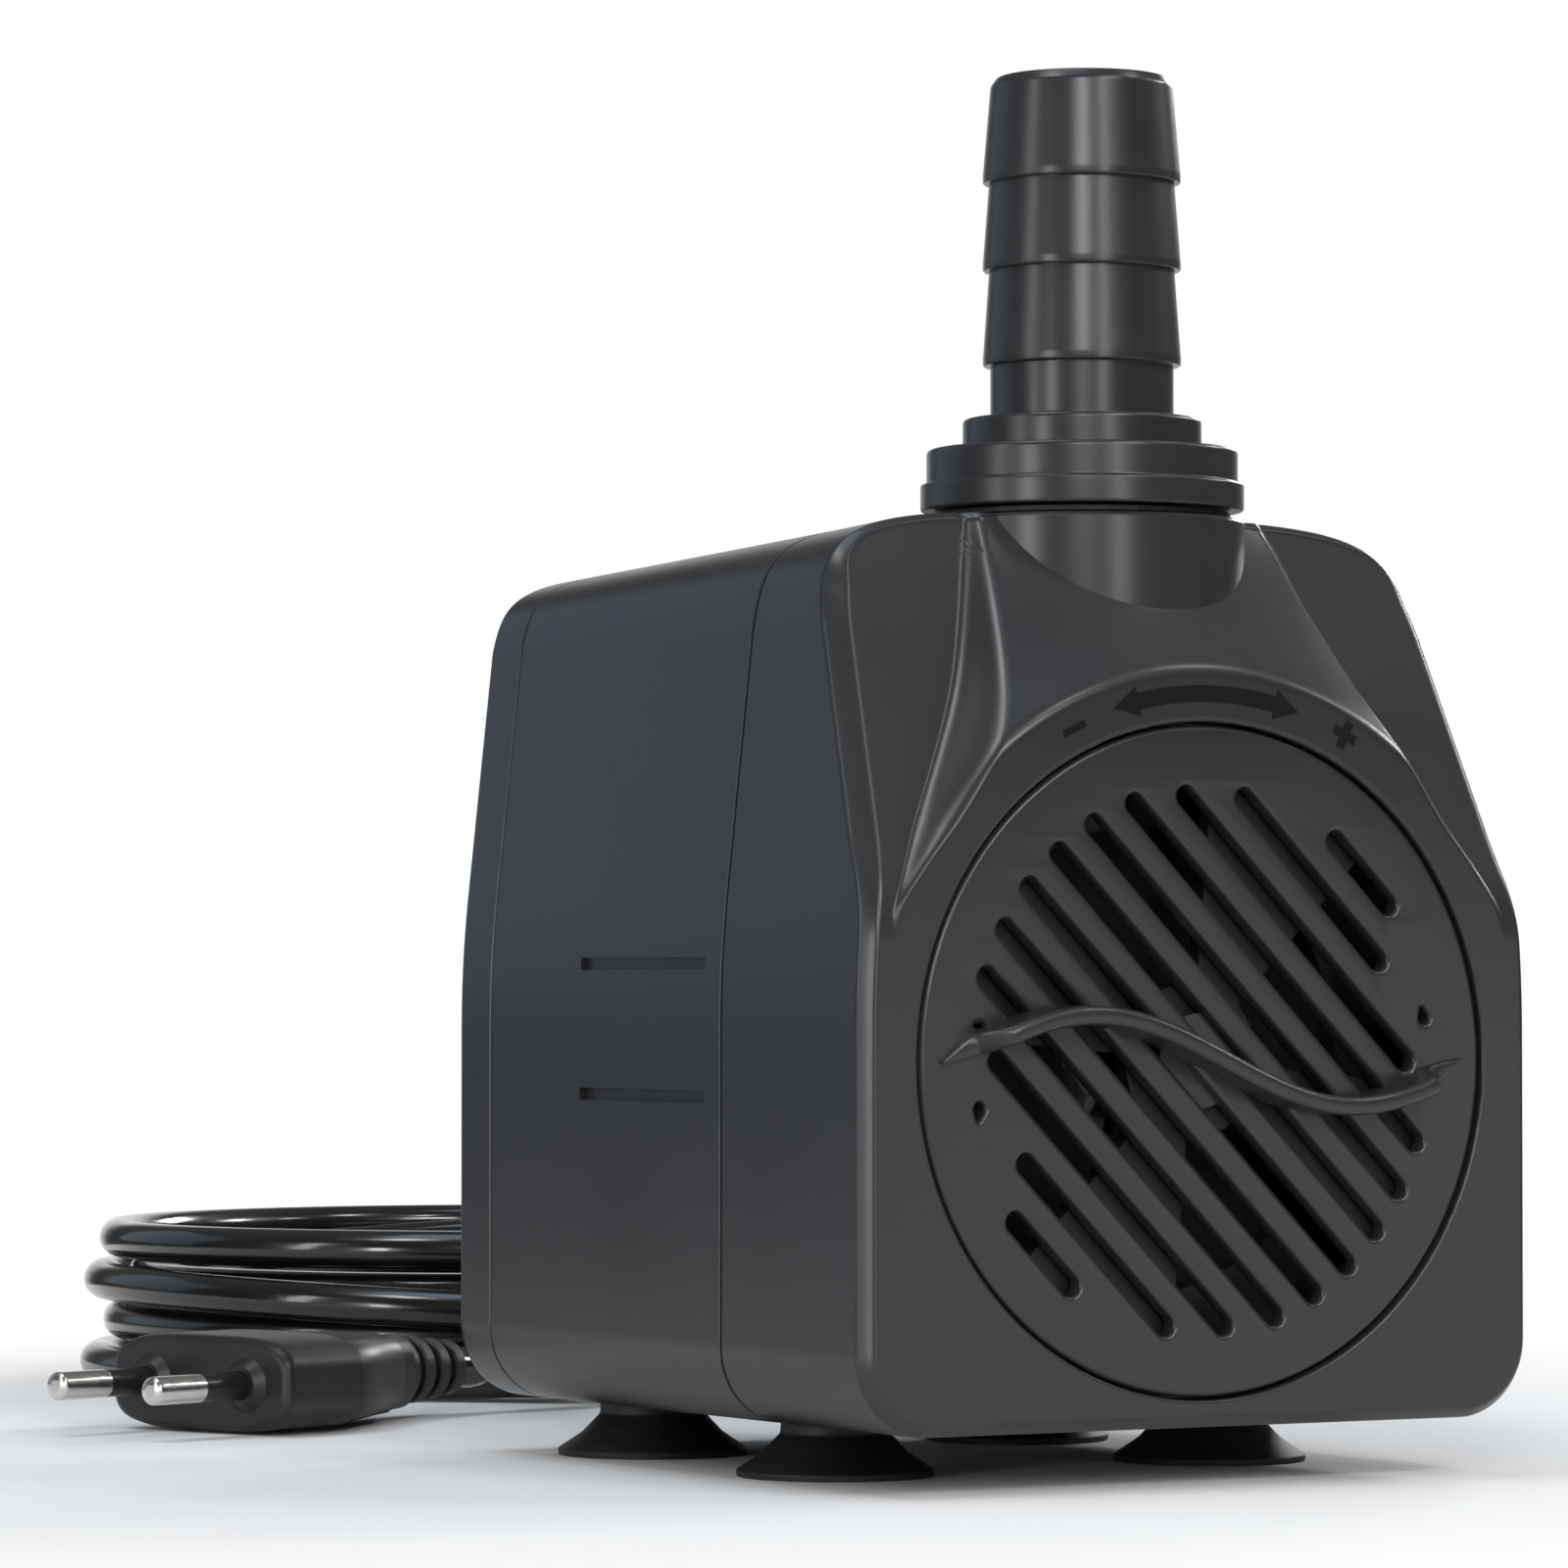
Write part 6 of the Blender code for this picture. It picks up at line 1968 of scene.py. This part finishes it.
@dataclass
class Studio:
    """Pale floor, soft lamps, surroundings and the camera."""

    eye: Point3 = (-0.48756, -0.77928, 0.06385)
    yaw: float = 30.32
    pitch: float = 1.62
    lens: float = 159.3
    sensor: float = 36.0
    floor_middle: Point2 = (0.0, 0.05)
    floor_radius: float = 0.34
    floor_colour: Colour = (0.86, 0.86, 0.86)
    room_tint: Colour = (1.0, 1.0, 1.0)
    floor_fade: Point2 = (0.08, 0.33)
    side_level: float = 0.08
    top_level: float = 0.18
    room_rise: Point2 = (0.15, 0.9)
    wall_edge: Point2 = (0.88, 0.97)
    lamps: tuple[SoftLamp, ...] = (
        SoftLamp("front_strip", (-0.69, -1.13, 0.55), (0.0, 0.0, 0.12), (0.3, 0.46), 5.2),
        SoftLamp("edge_strip", (-0.14, -1.30, 0.32), (0.0, 0.0, 0.08), (0.12, 0.7), 3.0),
        SoftLamp("low_left", (-1.22, -0.445, 0.13), (-0.05, -0.05, 0.06), (0.14, 0.36), 2.8),
        SoftLamp("left_strip", (-1.29, 0.10, 0.38), (0.0, 0.0, 0.07), (0.16, 0.8), 2.5),
        SoftLamp("key_box", (0.06, -1.05, 0.75), (0.0, 0.0, 0.08), (0.4, 0.2), 3.9),
        SoftLamp("high_left", (-0.57, 0.0, 1.17), (0.0, 0.0, 0.10), (0.25, 0.25), 2.2),
        SoftLamp("high_right", (0.63, -0.37, 1.07), (0.0, 0.0, 0.10), (0.14, 0.14), 1.1),
        SoftLamp("mid_right", (0.97, -0.35, 0.80), (0.0, 0.0, 0.08), (0.12, 0.12), 0.6),
        SoftLamp("ridge_spot", (0.18, -0.74, 1.09), (0.0, 0.0, 0.10), (0.12, 0.12), 1.1),
        SoftLamp("right_rim", (1.13, 0.02, 0.64), (0.0, 0.0, 0.10), (0.18, 0.14), 3.0),
        SoftLamp("face_card", (0.22, -0.38, 0.045), (0.0, -0.06, 0.04), (0.3, 0.07), 0.085),
        SoftLamp("far_right", (0.95, 0.72, 0.50), (0.0, 0.0, 0.10), (0.3, 0.2), 3.2),
        SoftLamp("back_sky", (-0.60, 1.08, 0.42), (0.0, 0.0, 0.08), (0.9, 0.75), 1.0, (0.62, 0.80, 1.0)),
        SoftLamp("top_box", (-0.1, 0.15, 1.35), (0.0, 0.0, 0.10), (0.7, 0.7), 3.4, (0.70, 0.85, 1.0)),
    )

    def build(self) -> None:
        """Make the whole studio."""
        self._floor()
        for lamp in self.lamps:
            lamp.build()
        self._surroundings()
        self._camera()
        bpy.context.scene.view_settings.view_transform = "Standard"

    def _camera(self) -> None:
        """Place the camera at the photograph's viewing angle."""
        data = bpy.data.cameras.new("camera")
        data.lens = self.lens
        data.sensor_width = self.sensor
        data.sensor_fit = "HORIZONTAL"
        data.clip_start = 0.01
        data.clip_end = 60.0
        camera = bpy.data.objects.new("camera", data)
        camera.location = self.eye
        camera.rotation_euler = (math.radians(90 + self.pitch), 0.0, -math.radians(self.yaw))
        bpy.context.scene.collection.objects.link(camera)
        bpy.context.scene.camera = camera

    def _floor(self) -> None:
        """Make the floor, which fades to white far from the pump."""
        rim = [(x, y, 0.0) for x, y in Sculptor.arc((0.0, 0.0), self.floor_radius, 0, 360 * 95 / 96, 96)]
        floor = Sculptor.from_arrays("studio_floor", np.array(rim), [list(range(len(rim)))])
        floor.location = (*self.floor_middle, 0.0)
        made = bpy.data.materials.new("pale_floor")
        made.use_nodes = True
        tree = made.node_tree
        shader = tree.nodes["Principled BSDF"]
        shader.inputs["Base Color"].default_value = (*self.floor_colour, 1.0)
        shader.inputs["Roughness"].default_value = 0.9
        shader.inputs["Specular IOR Level"].default_value = 0.1
        path = tree.nodes.new("ShaderNodeLightPath")
        seen = self._any_of(tree, path, ("Is Camera Ray", "Is Glossy Ray", "Is Transmission Ray"))
        place = tree.nodes.new("ShaderNodeTexCoord")
        far = tree.nodes.new("ShaderNodeVectorMath")
        far.operation = "LENGTH"
        tree.links.new(place.outputs["Object"], far.inputs[0])
        fade = Nodes.ramp(tree, far.outputs["Value"], self.floor_fade)
        white = tree.nodes.new("ShaderNodeEmission")
        mix = tree.nodes.new("ShaderNodeMixShader")
        tree.links.new(Nodes.math(tree, "MULTIPLY", seen, fade), mix.inputs[0])
        tree.links.new(shader.outputs[0], mix.inputs[1])
        tree.links.new(white.outputs[0], mix.inputs[2])
        tree.links.new(mix.outputs[0], tree.nodes["Material Output"].inputs["Surface"])
        floor.data.materials.append(made)
        floor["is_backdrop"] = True

    @staticmethod
    def _any_of(
        tree: bpy.types.NodeTree, path: bpy.types.Node, names: Sequence[str]
    ) -> bpy.types.NodeSocket:
        """Add what tells some kinds of ray from the others.

        Args:
            tree: The node tree.
            path: Its Light Path node.
            names: The kinds of ray.

        Returns:
            One socket that is 1 for any of the kinds.
        """
        total = path.outputs[names[0]]
        for name in names[1:]:
            total = Nodes.math(tree, "MAXIMUM", total, path.outputs[name])
        return total

    def _surroundings(self) -> None:
        """Surround the pump with a dim room, lighter overhead, whose backdrop is white to look at."""
        world = bpy.data.worlds.new("studio_room")
        bpy.context.scene.world = world
        world.use_nodes = True
        tree = world.node_tree
        background = tree.nodes["Background"]
        background.inputs["Color"].default_value = (*self.room_tint, 1.0)
        place = tree.nodes.new("ShaderNodeTexCoord")
        split = tree.nodes.new("ShaderNodeSeparateXYZ")
        tree.links.new(place.outputs["Generated"], split.inputs[0])
        room = Nodes.ramp(tree, split.outputs["Z"], self.room_rise, (self.side_level, self.top_level))
        toward = tree.nodes.new("ShaderNodeVectorMath")
        toward.operation = "DOT_PRODUCT"
        yaw = math.radians(self.yaw)
        toward.inputs[1].default_value = (math.sin(yaw), math.cos(yaw), 0.0)
        tree.links.new(place.outputs["Generated"], toward.inputs[0])
        wall = Nodes.ramp(tree, toward.outputs["Value"], self.wall_edge)
        path = tree.nodes.new("ShaderNodeLightPath")
        mirrored = self._any_of(tree, path, ("Is Glossy Ray", "Is Transmission Ray"))
        mirrored = Nodes.math(tree, "MULTIPLY", mirrored, wall)
        white = Nodes.math(tree, "MAXIMUM", path.outputs["Is Camera Ray"], mirrored)
        level = tree.nodes.new("ShaderNodeMix")
        level.data_type = "FLOAT"
        for label, value in (("Factor", white), ("A", room), ("B", 1.0)):
            Nodes.feed(tree, value, level.inputs[label])
        tree.links.new(level.outputs[0], background.inputs["Strength"])


class FountainPump:
    """The whole pump: builds every sub-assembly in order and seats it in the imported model."""

    def __init__(self, shop: Workshop) -> None:
        """Keep the workshop and share one body form among the sub-assemblies."""
        self._shop = shop
        self._form = BodyForm()

    def build(self) -> None:
        """Build and seat every piece."""
        self._housings()
        self._dial()
        self._nozzle()
        self._feet()
        self._lead()
        self._wheel()
        InnerWorks(self._shop).dress()

    def _housings(self) -> None:
        """Seat the front housing with its marks, the motor casing and the rear cover."""
        shop = self._shop
        front = FrontHousing(self._form)
        shop.dress(front.build(), Finishes.HOUSING, Body.FRONT, Slot.HOUSING, ("front_housing",))
        for mark in front.marks():
            shop.dress(mark, Finishes.MARK, Body.FRONT, Slot.HOUSING)
        motor = MotorCasing(self._form)
        shop.dress(motor.build_casing(), Finishes.HOUSING, Body.MOTOR, Slot.HOUSING, ("motor_housing",))
        shop.dress(motor.build_cover(), Finishes.HOUSING, Body.MOTOR, Slot.HOUSING, ("rear_cover",))

    def _dial(self) -> None:
        """Seat the flow dial."""
        dial = FlowDial(self._form).build()
        self._shop.dress(dial, Finishes.DIAL, Body.DIAL, Slot.HOUSING, ("flow_dial",))

    def _nozzle(self) -> None:
        """Seat the outlet nozzle."""
        nozzle = OutletNozzle(self._form).build()
        self._shop.dress(nozzle, Finishes.HOUSING, Body.NOZZLE, Slot.HOUSING, ("outlet_nozzle",))

    def _feet(self) -> None:
        """Seat the suction cups."""
        for node, foot in SuctionFeet(self._form).build().items():
            self._shop.dress(foot, Finishes.RUBBER, Body.MOTOR, Slot.RUBBER, (node,))

    def _wheel(self) -> None:
        """Seat the impeller, its shaft and the chamber's seal."""
        wheel = PumpWheel()
        self._shop.dress(wheel.build_impeller(), Finishes.WHITE, Body.ROTOR, Slot.ROTOR, ("impeller",))
        self._shop.dress(wheel.build_shaft(), Finishes.CERAMIC, Body.MOTOR, Slot.CERAMIC, ("rotor_shaft",))
        self._shop.dress(wheel.build_seal(), Finishes.RUBBER, Body.MOTOR, Slot.RUBBER, ("chamber_seal",))

    def _lead(self) -> None:
        """Seat the cord with its strain relief, plug and pins."""
        shop = self._shop
        lead = MainsLead(self._form)
        gland = shop.dress(lead.build_gland(), Finishes.RUBBER, Body.MOTOR, Slot.RUBBER, ("cord_gland",))
        cord, length = lead.build_cord()
        shop.dress(cord, Finishes.CORD, Body.MOTOR, Slot.CORD, ("cord_lead", "cord_coil", "cord_tail"))
        plug = MainsPlug(lead.plug_entry, lead.plug_heading)
        pieces = [gland, shop.dress(plug.build_body(), Finishes.PLUG, Body.MOTOR, Slot.PLUG, ("plug_body",))]
        for node, (pin, sleeve) in plug.build_pins().items():
            pieces.append(shop.dress(pin, Finishes.NICKEL, Body.MOTOR, Slot.PIN, (node,)))
            pieces.append(shop.dress(sleeve, Finishes.SLEEVE, Body.MOTOR, Slot.PLUG))
        LOG.info("mains_cord: %.3f m", length)


def main() -> None:
    """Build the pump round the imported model, and the studio round the pump."""
    logging.basicConfig(level=logging.INFO, format="%(name)s %(message)s")
    shop = Workshop()
    FountainPump(shop).build()
    Studio().build()


if __name__ == "__main__":
    main()
